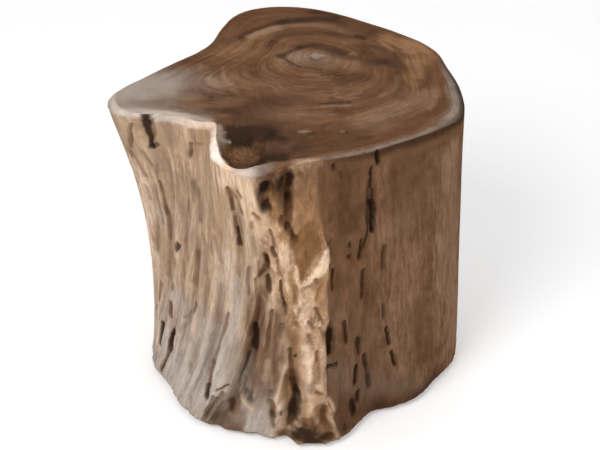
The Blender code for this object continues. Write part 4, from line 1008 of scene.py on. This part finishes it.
def make_wall(fibres):
    """Grids of the wall: points, weights and the places that streaks follow."""
    rim_plan = on_plan(loft_radius(fibres, np.ones(COLUMNS))[0], fibres)
    width = around(RIM_WIDTHS, fibres) / MM
    rim_inner = rim_plan * (1 - width / np.linalg.norm(rim_plan, axis=1))[:, None]
    rim_height = SEAT_HEIGHT - pocket_depth(rim_inner)
    top = rim_height - around(RIM_DROPS, fibres) / MM
    bottom = BUTT_HEIGHT + HEEL_RISE
    height = bottom + (top - bottom)[None, :] * np.linspace(0, 1, WALL_ROWS + 1)[:, None]
    below_top = top[None, :] - height
    rise = (height - BUTT_HEIGHT) / TRUNK_HEIGHT
    fibre = np.broadcast_to(fibres[None, :], rise.shape)
    heading = fibre_heading(fibre, rise)
    groove, hollow = groove_depth(fibre, rise), hollow_depth(heading, rise)
    place = np.concatenate((on_plan(TRUNK_RADIUS, fibre), height[..., None]), -1)
    round_place = np.concatenate((on_plan(TRUNK_RADIUS, heading), height[..., None]), -1)

    wander, bleach, ridge, step = weathering(round_place, height, heading)
    relief, foot_relief = worn_relief(place, round_place, height, bleach, ridge)
    relief = relief + step + foot_relief

    drift = 1.1 * streaks(round_place, 0.011, 2, 51) + 0.5 * streaks(round_place, 0.005, 2, 52)
    slip = 2.2 * noise(round_place / 0.012, 53)
    ragged = 0.8 * streaks(place, 0.0042, 5, 54) + 0.5 * streaks(place, 0.011, 3, 55)
    blots = 0.7 * noise(round_place / 0.006, 56) + 0.6 * noise(round_place / (0.011, 0.011, 0.016), 57)
    ragged += ridge * (blots - ragged)

    def across(line):
        middle = line[0][0]
        flat = [(arc_between(h, middle) * MM, z) for h, z in line]
        return arc_between(heading, middle) * MM + drift, flat

    cover, paint, carved, raised = laid(wall_strokes(), across, height * MM + slip, ragged)
    carved /= MM
    relief = np.where(carved > 0.0003, 0.4 * relief, relief) - raised / MM
    rim_fade = smooth(below_top / 0.006)
    relief = relief * (0.35 + 0.65 * rim_fade)
    pushed_in = np.maximum(np.maximum(groove, hollow), carved * (0.5 + 0.5 * rim_fade))
    radius = section_radius(heading, rise) - pushed_in - relief

    below = pushed_in + relief
    # Painted shading from the relief: darker in the hollows and paler on the ribs
    relief_shading = np.clip((blurred(below, 3, 3) - blurred(below, 9, 9)) / 0.0016, -1, 1)
    # Painted shadow: a dark line on the wall just under the rim's edge, at the right and round to the back
    under = np.clip(around(RIM_SHADOW_LINE, heading), 0, 1)
    dark = 0.75 * under * smooth(1.35 - below_top / (0.003 + 0.009 * under) + 0.2 * wander)
    # Plain brown under the painted shadow line, so that the grain doesn't break it up
    near = (1 - cover) * smooth(under * 3) * smooth(2.5 - below_top / 0.010)
    cover = cover + near
    paint = paint + near[..., None] * np.array(colour(*PLAIN_BROWN)[:3])
    return {
        "points": np.concatenate((on_plan(radius, heading), height[..., None]), -1),
        "fibre": place,
        "bleach": bleach,
        "ridge": ridge,
        "low": smooth((0.20 - height) / 0.12),
        # The cover and the paint carry the painted shadow line under the rim
        "cover": cover * (1 - dark) + dark,
        "paint": paint * (1 - dark[..., None]) + paint_of("dark") * dark[..., None],
        "relief_shading": relief_shading,
    }, rim_inner, rim_height


def make_rim(fibres, wall, rim_inner, rim_height):
    """Rows between the wall's top and the seat's edge, and their tones."""
    outer = wall["points"][-1]
    inner = np.concatenate((rim_inner, rim_height[:, None]), -1)
    share = np.linspace(0, 1, RIM_ROWS + 1)[1:, None, None]
    points = outer + (inner - outer) * share
    points[..., 2] += RIM_ARCH * (4 * share * (1 - share))[..., 0]
    points[..., :2] *= 1 - RIM_WANDER * noise(points / 0.012, 31)[..., None]
    points[..., 2] -= RIM_PITS * (1 + noise(points / 0.006, 32)) * (1 - share[..., 0])
    stops = np.array([stop for stop, _ in RIM_TONES] + [360])
    names = [name for _, name in RIM_TONES] + [RIM_TONES[0][1]]
    drawn = np.array([paint_of(name) for name in names])
    moved = np.mod(fibres + 2.5 * noise(points / 0.02, 33), 360)
    tones = np.stack([np.interp(moved, stops, drawn[:, k]) for k in range(3)], -1)
    left = smooth((285 - fibres) / 20)
    worn = left * smooth(1.1 - 2.2 * share[..., 0] + 0.4 * noise(points / 0.007, 34))
    tones *= 1 - 0.25 * worn[..., None]
    front = (1 - left) * smooth((343 - fibres) / 8)
    brown = 0.9 * front * smooth(3 * share[..., 0] - 1.1 + 0.5 * noise(points / 0.01, 36))
    # Painted shade on the rim's outer edge at the right and the back; the cracks after it are the wood's own
    dark = 0.85 * np.clip(around(OUTER_RIM_SHADE, fibres), 0, 1)
    dark = dark * smooth(1.8 - 3.0 * share[..., 0] + 0.4 * noise(points / 0.008, 35))
    for outside, inside, half, reach in RIM_CRACKS:
        middle = outside + (inside - outside) * share[..., 0]
        off = 1.4 - np.abs(fibres - middle) / half + 0.5 * noise(points / 0.006, 37)
        dark = np.maximum(dark, smooth(off) * smooth((reach - share[..., 0]) / 0.15))
    for name, much in (("brown", brown[..., None]), ("dark", dark[..., None])):
        tones = tones * (1 - much) + much * paint_of(name)
    return points, tones


def make_seat(rim_inner):
    """Rings from inside the rim to the pith, the last ring a single point."""
    pith = np.array(PITH)
    share = 1 - np.arange(1, SEAT_RINGS + 1)[:, None, None] / SEAT_RINGS
    plan = pith + (rim_inner - pith) * share
    reach = np.linalg.norm(plan - pith, axis=-1)
    follow = smooth(share[..., 0] * 1.5)
    rings = (1 - follow) * reach + follow * share[..., 0] * 0.2
    flat = np.concatenate((rings[..., None], plan * 0.10), -1)
    place = np.concatenate((plan, np.zeros(plan.shape[:-1] + (1,))), -1)
    depth = pocket_depth(plan)
    in_pocket = smooth(depth / 0.006)
    on_lobe = smooth((-0.09 - plan[..., 0]) / 0.07)
    ripples = noise(flat / 0.0050, 41) * (1 - 0.7 * on_lobe)
    broad = noise(place / 0.070, 42)
    crumbs = noise(place / 0.009, 43)
    relief = RING_DEPTH * (1 + ripples) + WAVE_DEPTH * (1 + broad)
    relief = relief + in_pocket * POCKET_LUMP_DEPTH * (1 + crumbs)
    relief += in_pocket * POCKET_CRUMB_DEPTH * noise(place / 0.006, 48)
    drift = 0.9 * noise(place / 0.012, 44) + 0.4 * crumbs
    slip = 0.9 * noise(place / 0.012, 45)
    ragged = 0.5 * noise(flat / 0.004, 46) + 0.5 * noise(place / 0.008, 47)
    ragged *= 1 - 0.7 * on_lobe
    x, y = plan[..., 0] * MM, plan[..., 1] * MM
    cover, paint, _, _ = laid(seat_strokes(), lambda line: (x + drift, line), y + slip, ragged)
    for middle_x, middle_y, half_x, half_y, deep in POCKET_PITS:
        off = 1 - np.hypot((x - middle_x) / half_x, (y - middle_y) / half_y) + 0.25 * crumbs
        relief += deep / MM * smooth(off * 1.6)
    edge_fade = smooth((1 - share[..., 0]) / 0.07)
    height = SEAT_HEIGHT - depth - relief * edge_fade
    return {
        "points": np.concatenate((plan, height[..., None]), -1),
        "rings": flat,
        "cover": cover,
        "paint": paint,
        "rot": in_pocket,
        "bleach": on_lobe,
    }


def make_trunk(finishes):
    fibres = even_fibres()
    wall, rim_inner, rim_height = make_wall(fibres)
    rim, rim_tones = make_rim(fibres, wall, rim_inner, rim_height)
    seat = make_seat(rim_inner)
    low = wall["points"][0]
    length = np.linalg.norm(low[:, :2], axis=1)[:, None]
    heel = np.concatenate((low[:, :2] * (1 - HEEL_WIDTH / length), np.full((COLUMNS, 1), BUTT_HEIGHT)), -1)
    shares = 1 - np.arange(1, BUTT_RINGS + 1)[:, None, None] / BUTT_RINGS
    butt = heel * shares
    butt[..., 2] = BUTT_HEIGHT

    # Rows from the middle of the butt, out, up the wall, over the rim and in to the pith
    parts = [butt[:-1][::-1], heel[None], wall["points"], rim, seat["points"][:-1]]
    rows = np.concatenate(parts)
    first = np.cumsum([0] + [len(part) for part in parts])
    points = np.concatenate((rows.reshape(-1, 3), [[0, 0, BUTT_HEIGHT]], [seat["points"][-1, 0]]))
    low_box, high_box = (np.array(corner) for corner in CAD_BOX)
    points = np.clip(points, low_box, high_box)

    count = len(rows)
    index = np.arange(count * COLUMNS).reshape(count, COLUMNS)
    after = np.roll(index, -1, axis=1)
    quads = np.stack((index[:-1], after[:-1], after[1:], index[1:]), -1).reshape(-1, 4)
    butt_middle, seat_middle = count * COLUMNS, count * COLUMNS + 1
    butt_fan = np.stack((np.full(COLUMNS, butt_middle), after[0], index[0]), -1)
    seat_fan = np.stack((np.full(COLUMNS, seat_middle), index[-1], after[-1]), -1)

    mesh = bpy.data.meshes.new("trunk_dressed")
    mesh.from_pydata(points.tolist(), [], quads.tolist() + butt_fan.tolist() + seat_fan.tolist())
    row_of_quad = np.repeat(np.arange(count - 1), COLUMNS)
    side, rim_slot, seat_slot, butt_slot = range(4)
    zone = np.full(len(quads), side)
    zone[row_of_quad < first[2]] = butt_slot
    zone[row_of_quad >= first[3]] = rim_slot
    zone[row_of_quad >= first[4] - 1] = seat_slot
    zone = np.concatenate((zone, np.full(COLUMNS, butt_slot), np.full(COLUMNS, seat_slot)))
    for finish in ("side", "rim", "seat", "butt"):
        mesh.materials.append(finishes[finish])
    mesh.polygons.foreach_set("material_index", zone)
    mesh.shade_smooth()

    def keep(name, values):
        """A grid of values as an attribute of the mesh."""
        kind, field = ("FLOAT", "value") if values.ndim == 1 else ("FLOAT_VECTOR", "vector")
        attribute = mesh.attributes.new(name, kind, "POINT")
        attribute.data.foreach_set(field, np.ascontiguousarray(values, np.float32).ravel())

    def spread(key):
        """One weight over the whole trunk: the wall's, then the wall's top on the rim, and the seat's."""
        on_wall = wall.get(key, np.zeros(wall["bleach"].shape))
        on_seat = seat.get(key, np.zeros(seat["points"].shape[:2]))
        grid = np.zeros((count, COLUMNS))
        grid[: first[2]] = on_wall[0]
        grid[first[2]: first[3]] = on_wall
        share = np.linspace(0, 1, RIM_ROWS + 1)[1:, None]
        grid[first[3]: first[4]] = on_wall[-1] + (on_seat[0] - on_wall[-1]) * share
        if key == "cover":
            grid[first[3]: first[4]] = 1
        grid[first[4]:] = on_seat[:-1]
        return np.concatenate((grid.ravel(), [grid[0].mean(), on_seat[-1].mean()]))

    for key in ("bleach", "ridge", "low", "relief_shading", "rot", "cover"):
        keep(key, spread(key))
    paint = np.zeros((count, COLUMNS, 3))
    paint[first[2]: first[3]] = wall["paint"]
    paint[first[3]: first[4]] = rim_tones
    paint[first[4]:] = seat["paint"][:-1]
    keep("paint", np.concatenate((paint.reshape(-1, 3), paint[0, :1], seat["paint"][-1, :1])))
    fibre = np.zeros((count, COLUMNS, 3))
    fibre[: first[2]] = wall["fibre"][0]
    fibre[first[2]: first[3]] = wall["fibre"]
    fibre[first[3]:] = wall["fibre"][-1]
    keep("fibre", np.concatenate((fibre.reshape(-1, 3), fibre[0, :1], fibre[-1, :1])))
    rings = np.zeros((count, COLUMNS, 3))
    rings[:] = seat["rings"][0]
    rings[first[4]:] = seat["rings"][:-1]
    keep("rings", np.concatenate((rings.reshape(-1, 3), rings[0, :1], seat["rings"][-1, :1])))
    trunk = bpy.data.objects.new("trunk_dressed", mesh)
    bpy.context.scene.collection.objects.link(trunk)
    return trunk


# Finishes


class Nodes:
    """Short ways to add nodes to one material. A value that is a socket is linked, and else is set."""

    def __init__(self, name):
        self.material = bpy.data.materials.new(name)
        self.material.use_nodes = True
        self.tree = self.material.node_tree
        self.shader = self.tree.nodes["Principled BSDF"]

    def add(self, kind, values=(), **settings):
        made = self.tree.nodes.new(kind)
        for key, value in settings.items():
            setattr(made, key, value)
        for key, value in dict(values).items():
            self.put(made.inputs[key], value)
        return made

    def put(self, socket, value):
        if isinstance(value, bpy.types.NodeSocket):
            self.tree.links.new(value, socket)
        else:
            socket.default_value = value

    def weight(self, name):
        return self.add("ShaderNodeAttribute", attribute_name=name).outputs["Fac"]

    def vector(self, name):
        return self.add("ShaderNodeAttribute", attribute_name=name).outputs["Vector"]

    def place(self):
        return self.add("ShaderNodeTexCoord").outputs["Object"]

    def scaled(self, vector, x, y, z):
        made = self.add("ShaderNodeVectorMath", {0: vector, 1: (x, y, z)}, operation="MULTIPLY")
        return made.outputs["Vector"]

    def weighed(self, *parts):
        """The sum of values, each times its share."""
        (first, share), *others = parts
        total = self.math("MULTIPLY", first, share)
        for value, share in others:
            total = self.math("MULTIPLY_ADD", value, share, total)
        return total

    def toward(self, start, end, share):
        """From the first value to the second, as far as the share says."""
        return self.math("MULTIPLY_ADD", share, self.math("SUBTRACT", end, start), start)

    def noise(self, vector, detail=3.0, rough=0.5, warp=0.0):
        values = {"Vector": vector, "Scale": 1.0, "Detail": detail, "Roughness": rough, "Distortion": warp}
        return self.add("ShaderNodeTexNoise", values).outputs["Fac"]

    def vectors(self, operation, a, b=(0.0, 0.0, 0.0), scale=1.0):
        made = self.add("ShaderNodeVectorMath", {0: a, 1: b, 3: scale}, operation=operation)
        return made.outputs["Vector"]

    def painted(self, base, change, fray):
        """The strokes laid over a base colour, where change is their tone's factor, and fray, from
        -1 to 1, breaks up the places that they cover in part."""
        cover = self.weight("cover")
        kept = self.math("MULTIPLY_ADD", self.math("SUBTRACT", 1.0, cover), fray, 1.0)
        bare = self.math("MULTIPLY_ADD", self.math("MULTIPLY", cover, kept), -1.0, 1.0)
        drawn = self.vectors("SCALE", self.vector("paint"), scale=self.math("MULTIPLY", change, kept))
        return self.vectors("ADD", self.vectors("SCALE", base, scale=bare), drawn)

    def math(self, operation, a, b=0.0, c=0.0):
        made = self.add("ShaderNodeMath", {0: a, 1: b, 2: c}, operation=operation)
        return made.outputs["Value"]

    def between(self, value, low, high, to_low=0.0, to_high=1.0):
        values = {"Value": value, "From Min": low, "From Max": high, "To Min": to_low, "To Max": to_high}
        return self.add("ShaderNodeMapRange", values, interpolation_type="SMOOTHSTEP").outputs["Result"]

    def ramp(self, value, *stops):
        made = self.add("ShaderNodeValToRGB", {"Fac": value})
        while len(made.color_ramp.elements) < len(stops):
            made.color_ramp.elements.new(0.5)
        for element, (place, tone) in zip(made.color_ramp.elements, stops):
            element.position, element.color = place, tone
        return made.outputs["Color"]

    def mix(self, share, a, b):
        made = self.add("ShaderNodeMix", data_type="RGBA")
        for key, value in ((0, share), (6, a), (7, b)):
            self.put(made.inputs[key], value)
        return made.outputs[2]

    def finish(self, colour_socket, roughness, height=None, strength=0.3, distance=0.001, specular=0.3):
        self.put(self.shader.inputs["Base Color"], colour_socket)
        self.put(self.shader.inputs["Roughness"], roughness)
        self.shader.inputs["Specular IOR Level"].default_value = specular
        if height is not None:
            bump = self.add("ShaderNodeBump", {"Height": height, "Strength": strength, "Distance": distance})
            self.tree.links.new(bump.outputs["Normal"], self.shader.inputs["Normal"])
        return self.material


def wall_finish():
    n = Nodes("weathered_side")
    fibre = n.vector("fibre")
    broad = n.noise(n.scaled(fibre, 42, 42, 5), 4, 0.6)
    narrow = n.noise(n.scaled(fibre, 170, 170, 22), 4, 0.62)
    hair = n.noise(n.scaled(fibre, 520, 520, 110), 3, 0.65)
    spots = n.noise(n.scaled(fibre, 60, 60, 40), 4, 0.6)
    figure = n.weighed((broad, 0.30), (hair, 0.28), (narrow, 0.42))
    coarse = n.noise(n.scaled(fibre, 95, 95, 65), 3, 0.6)
    speckle = n.noise(n.scaled(fibre, 280, 280, 210), 4, 0.65)
    blots = n.weighed((coarse, 0.48), (speckle, 0.52))
    ridge = n.weight("ridge")
    figure = n.toward(figure, blots, ridge)
    # The ridge's spots are weaker than the wall's streaks, and weakest towards the floor
    calm = n.math("MULTIPLY", ridge, n.math("MULTIPLY_ADD", n.weight("low"), 0.35, 0.25))
    figure = n.toward(figure, 0.5, calm)
    # Painted shading: the figure darkens where the wall lies in and lightens on its ribs
    figure = n.math("MULTIPLY_ADD", n.weight("relief_shading"), -0.05, figure)
    plain = n.ramp(n.weighed((figure, 0.52), (spots, 0.48)),
                   (0.36, colour(90, 61, 41)), (0.50, colour(*PLAIN_BROWN)), (0.66, colour(136, 101, 75)))
    tan = n.ramp(figure, (0.34, colour(126, 99, 78)), (0.44, colour(168, 139, 114)),
                 (0.54, colour(190, 161, 134)), (0.66, colour(222, 194, 168)))
    ash = n.ramp(figure, (0.34, colour(128, 114, 102)), (0.47, colour(178, 163, 151)),
                 (0.64, colour(208, 196, 187)))
    warm = n.ramp(figure, (0.36, colour(120, 88, 61)), (0.45, colour(164, 126, 92)),
                  (0.54, colour(192, 154, 120)), (0.65, colour(226, 190, 156)))
    base = n.mix(ridge, n.mix(n.math("MULTIPLY", n.weight("low"), 0.75), tan, ash), warm)
    base = n.mix(n.between(n.weight("bleach"), 0.15, 0.75), plain, base)
    # The brown side keeps a calmer figure than the weathered one
    much = n.between(n.weight("bleach"), 0.15, 0.75, 0.12, 0.24)
    change = n.math("MULTIPLY_ADD", n.between(figure, 0.36, 0.64, -1.0, 1.0), much, 1.0)
    wear = n.toward(n.weighed((narrow, 0.6), (hair, 0.4)), blots, ridge)
    wear = n.toward(wear, 0.5, calm)
    fray = n.between(wear, 0.40, 0.60, -0.95, 0.95)
    return n.finish(n.painted(base, change, fray), 0.9, figure, strength=0.4, distance=0.0012, specular=0.05)


def rim_finish():
    n = Nodes("sanded_rim")
    place = n.place()
    mottle = n.noise(n.scaled(place, 70, 70, 70), 4, 0.6)
    fine = n.noise(n.scaled(place, 420, 420, 420), 3, 0.6)
    figure = n.weighed((mottle, 0.7), (fine, 0.3))
    tone = n.vectors("SCALE", n.vector("paint"), scale=n.between(figure, 0.3, 0.7, 0.78, 1.22))
    return n.finish(tone, 0.8, figure, strength=0.2, distance=0.0008, specular=0.25)


def seat_finish():
    n = Nodes("sawn_seat")
    rings = n.vector("rings")
    place = n.place()
    wide = n.noise(n.scaled(rings, 60, 90, 90), 4, 0.55, 0.5)
    fine = n.noise(n.scaled(rings, 260, 150, 150), 4, 0.6, 0.5)
    hair = n.noise(n.scaled(rings, 900, 520, 520), 3, 0.6)
    blotch = n.noise(n.scaled(place, 22, 30, 28), 4, 0.6)
    broad = n.noise(n.scaled(place, 9, 11, 11), 3, 0.5)
    figure = n.weighed((hair, 0.14), (wide, 0.26), (fine, 0.22), (broad, 0.16), (blotch, 0.22))
    base = n.ramp(figure, (0.38, colour(68, 42, 25)), (0.47, colour(98, 65, 42)),
                  (0.54, colour(113, 78, 53)), (0.65, colour(140, 102, 74)))
    rot = n.ramp(n.noise(n.scaled(place, 110, 130, 110), 5, 0.65),
                 (0.36, colour(50, 33, 21)), (0.50, colour(86, 58, 38)), (0.64, colour(124, 87, 59)))
    base = n.mix(n.weight("rot"), base, rot)
    change = n.between(n.weighed((figure, 0.6), (blotch, 0.4)), 0.40, 0.60, 0.84, 1.16)
    # The worn lobe shows its rings faintly, and the rotted pocket is crumbly
    faint = n.math("MULTIPLY_ADD", n.weight("bleach"), -0.7, 1.0)
    change = n.toward(1.0, change, faint)
    crumbs = n.between(n.noise(n.scaled(place, 190, 240, 190), 5, 0.7), 0.36, 0.64, -0.26, 0.26)
    change = n.math("MULTIPLY_ADD", n.weight("rot"), crumbs, change)
    fray = n.between(n.weighed((fine, 0.5), (wide, 0.5)), 0.38, 0.62, -0.55, 0.55)
    return n.finish(n.painted(base, change, fray), 0.8, figure, strength=0.15, distance=0.0006, specular=0.1)


def butt_finish():
    n = Nodes("sawn_butt")
    place = n.place()
    saw = n.noise(n.scaled(place, 20, 300, 20), 3, 0.6)
    tone = n.ramp(saw, (0.3, colour(96, 72, 54)), (0.7, colour(150, 120, 96)))
    return n.finish(tone, 0.85, saw, strength=0.3, distance=0.001, specular=0.25)


def felt_finish():
    n = Nodes("pressed_felt")
    place = n.place()
    fluff = n.noise(n.scaled(place, 900, 900, 900), 4, 0.7)
    tone = n.ramp(fluff, (0.3, colour(88, 85, 82)), (0.7, colour(128, 124, 119)))
    return n.finish(tone, 0.98, fluff, strength=0.6, distance=0.0005, specular=0.1)


def nylon_finish():
    n = Nodes("moulded_nylon")
    place = n.place()
    grain = n.noise(n.scaled(place, 1500, 1500, 1500), 3, 0.6)
    tone = n.ramp(grain, (0.3, colour(40, 40, 42)), (0.7, colour(50, 50, 52)))
    roughness = n.between(grain, 0.3, 0.7, 0.42, 0.55)
    return n.finish(tone, roughness, grain, strength=0.15, distance=0.0002, specular=0.4)


def steel_finish():
    n = Nodes("zinc_steel")
    place = n.place()
    spangle = n.noise(n.scaled(place, 500, 500, 500), 4, 0.6)
    tone = n.ramp(spangle, (0.3, colour(176, 177, 172)), (0.7, colour(205, 206, 202)))
    n.shader.inputs["Metallic"].default_value = 1.0
    roughness = n.between(spangle, 0.3, 0.7, 0.28, 0.45)
    return n.finish(tone, roughness, spangle, strength=0.1, distance=0.0002, specular=0.5)


# Floor, light and camera


def seen_directly(tree):
    """1 for a ray from the camera, or one that glossy and clear things pass on, and else 0."""
    ray = tree.nodes.new("ShaderNodeLightPath").outputs
    direct = ray["Is Camera Ray"]
    for kind in ("Is Glossy Ray", "Is Transmission Ray"):
        either = tree.nodes.new("ShaderNodeMath")
        either.operation = "MAXIMUM"
        tree.links.new(direct, either.inputs[0])
        tree.links.new(ray[kind], either.inputs[1])
        direct = either.outputs["Value"]
    return direct


def make_floor():
    mesh = bpy.data.meshes.new("floor")
    side, back, steps = 6.0, 3.0, 24
    bend = [(0.0, -side, 0.0), (0.0, back, 0.0)]
    radius = 1.5
    for k in range(1, steps + 1):
        turn = math.pi / 2 * k / steps
        bend.append((0.0, back + radius * math.sin(turn), radius * (1 - math.cos(turn))))
    bend.append((0.0, back + radius, side))
    points = [(x, y, z) for _, y, z in bend for x in (-side, side)]
    faces = [(2 * k, 2 * k + 1, 2 * k + 3, 2 * k + 2) for k in range(len(bend) - 1)]
    mesh.from_pydata(points, [], faces)
    mesh.shade_smooth()
    floor = bpy.data.objects.new("floor", mesh)
    bpy.context.scene.collection.objects.link(floor)
    n = Nodes("pale_floor")
    place = n.place()
    cloud = n.noise(n.scaled(place, 3, 3, 3))
    tone = n.ramp(cloud, (0.3, colour(250, 250, 250)), (0.7, colour(253, 253, 253)))
    n.finish(tone, 0.9, specular=0.1)
    # Looked at directly, the floor glows a little, which lifts it to white and keeps the shadow
    n.put(n.shader.inputs["Emission Strength"], n.math("MULTIPLY", seen_directly(n.tree), FLOOR_GLOW))
    n.shader.inputs["Emission Color"].default_value = (1.0, 1.0, 1.0, 1.0)
    mesh.materials.append(n.material)


def make_lamp(name, size, energy, heading, elevation, distance):
    lamp = bpy.data.lights.new(name, "AREA")
    lamp.shape, lamp.size, lamp.energy = "DISK", size, energy
    made = bpy.data.objects.new(name, lamp)
    bpy.context.scene.collection.objects.link(made)
    turn, lift = math.radians(heading), math.radians(elevation)
    made.location = (
        LAMP_AIM[0] + distance * math.cos(lift) * math.cos(turn),
        LAMP_AIM[1] + distance * math.cos(lift) * math.sin(turn),
        LAMP_AIM[2] + distance * math.sin(lift),
    )
    made.rotation_euler = (math.pi / 2 - lift, 0.0, turn + math.pi / 2)


def make_world():
    world = bpy.data.worlds.new("studio")
    world.use_nodes = True
    nodes, links = world.node_tree.nodes, world.node_tree.links
    lit = nodes["Background"]
    lit.inputs["Color"].default_value = (1.0, 1.0, 1.0, 1.0)
    # Looked at directly, the world is white, and it lights the stool less than that
    strength = nodes.new("ShaderNodeMath")
    strength.operation = "MULTIPLY_ADD"
    links.new(seen_directly(world.node_tree), strength.inputs[0])
    strength.inputs[1].default_value = 1 - WORLD_STRENGTH
    strength.inputs[2].default_value = WORLD_STRENGTH
    links.new(strength.outputs["Value"], lit.inputs["Strength"])
    bpy.context.scene.world = world


def make_camera():
    camera = bpy.data.cameras.new("camera")
    camera.sensor_width = SENSOR_WIDTH
    camera.lens = SENSOR_WIDTH * FOCAL_PIXELS / PICTURE_WIDTH
    made = bpy.data.objects.new("camera", camera)
    bpy.context.scene.collection.objects.link(made)
    lift = math.radians(CAMERA_LIFT)
    made.location = sight_line(PICTURE_WIDTH / 2, PICTURE_HEIGHT / 2)[0]
    made.rotation_euler = (math.pi / 2 - lift, 0.0, 0.0)
    bpy.context.scene.camera = made


def main():
    make_camera()
    finishes = {"side": wall_finish(), "rim": rim_finish(), "seat": seat_finish(), "butt": butt_finish()}
    trunk = make_trunk(finishes)
    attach(trunk, "root")
    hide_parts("trunk")
    glide = {"felt": felt_finish(), "cup": nylon_finish(), "screw": steel_finish()}
    for name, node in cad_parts.items():
        for kind, finish in glide.items():
            if name.startswith("glide_" + kind):
                node.material_slots[0].material = finish
    make_floor()
    make_world()
    for lamp in LAMPS:
        make_lamp(*lamp)
    bpy.context.scene.view_settings.view_transform = "Standard"


main()
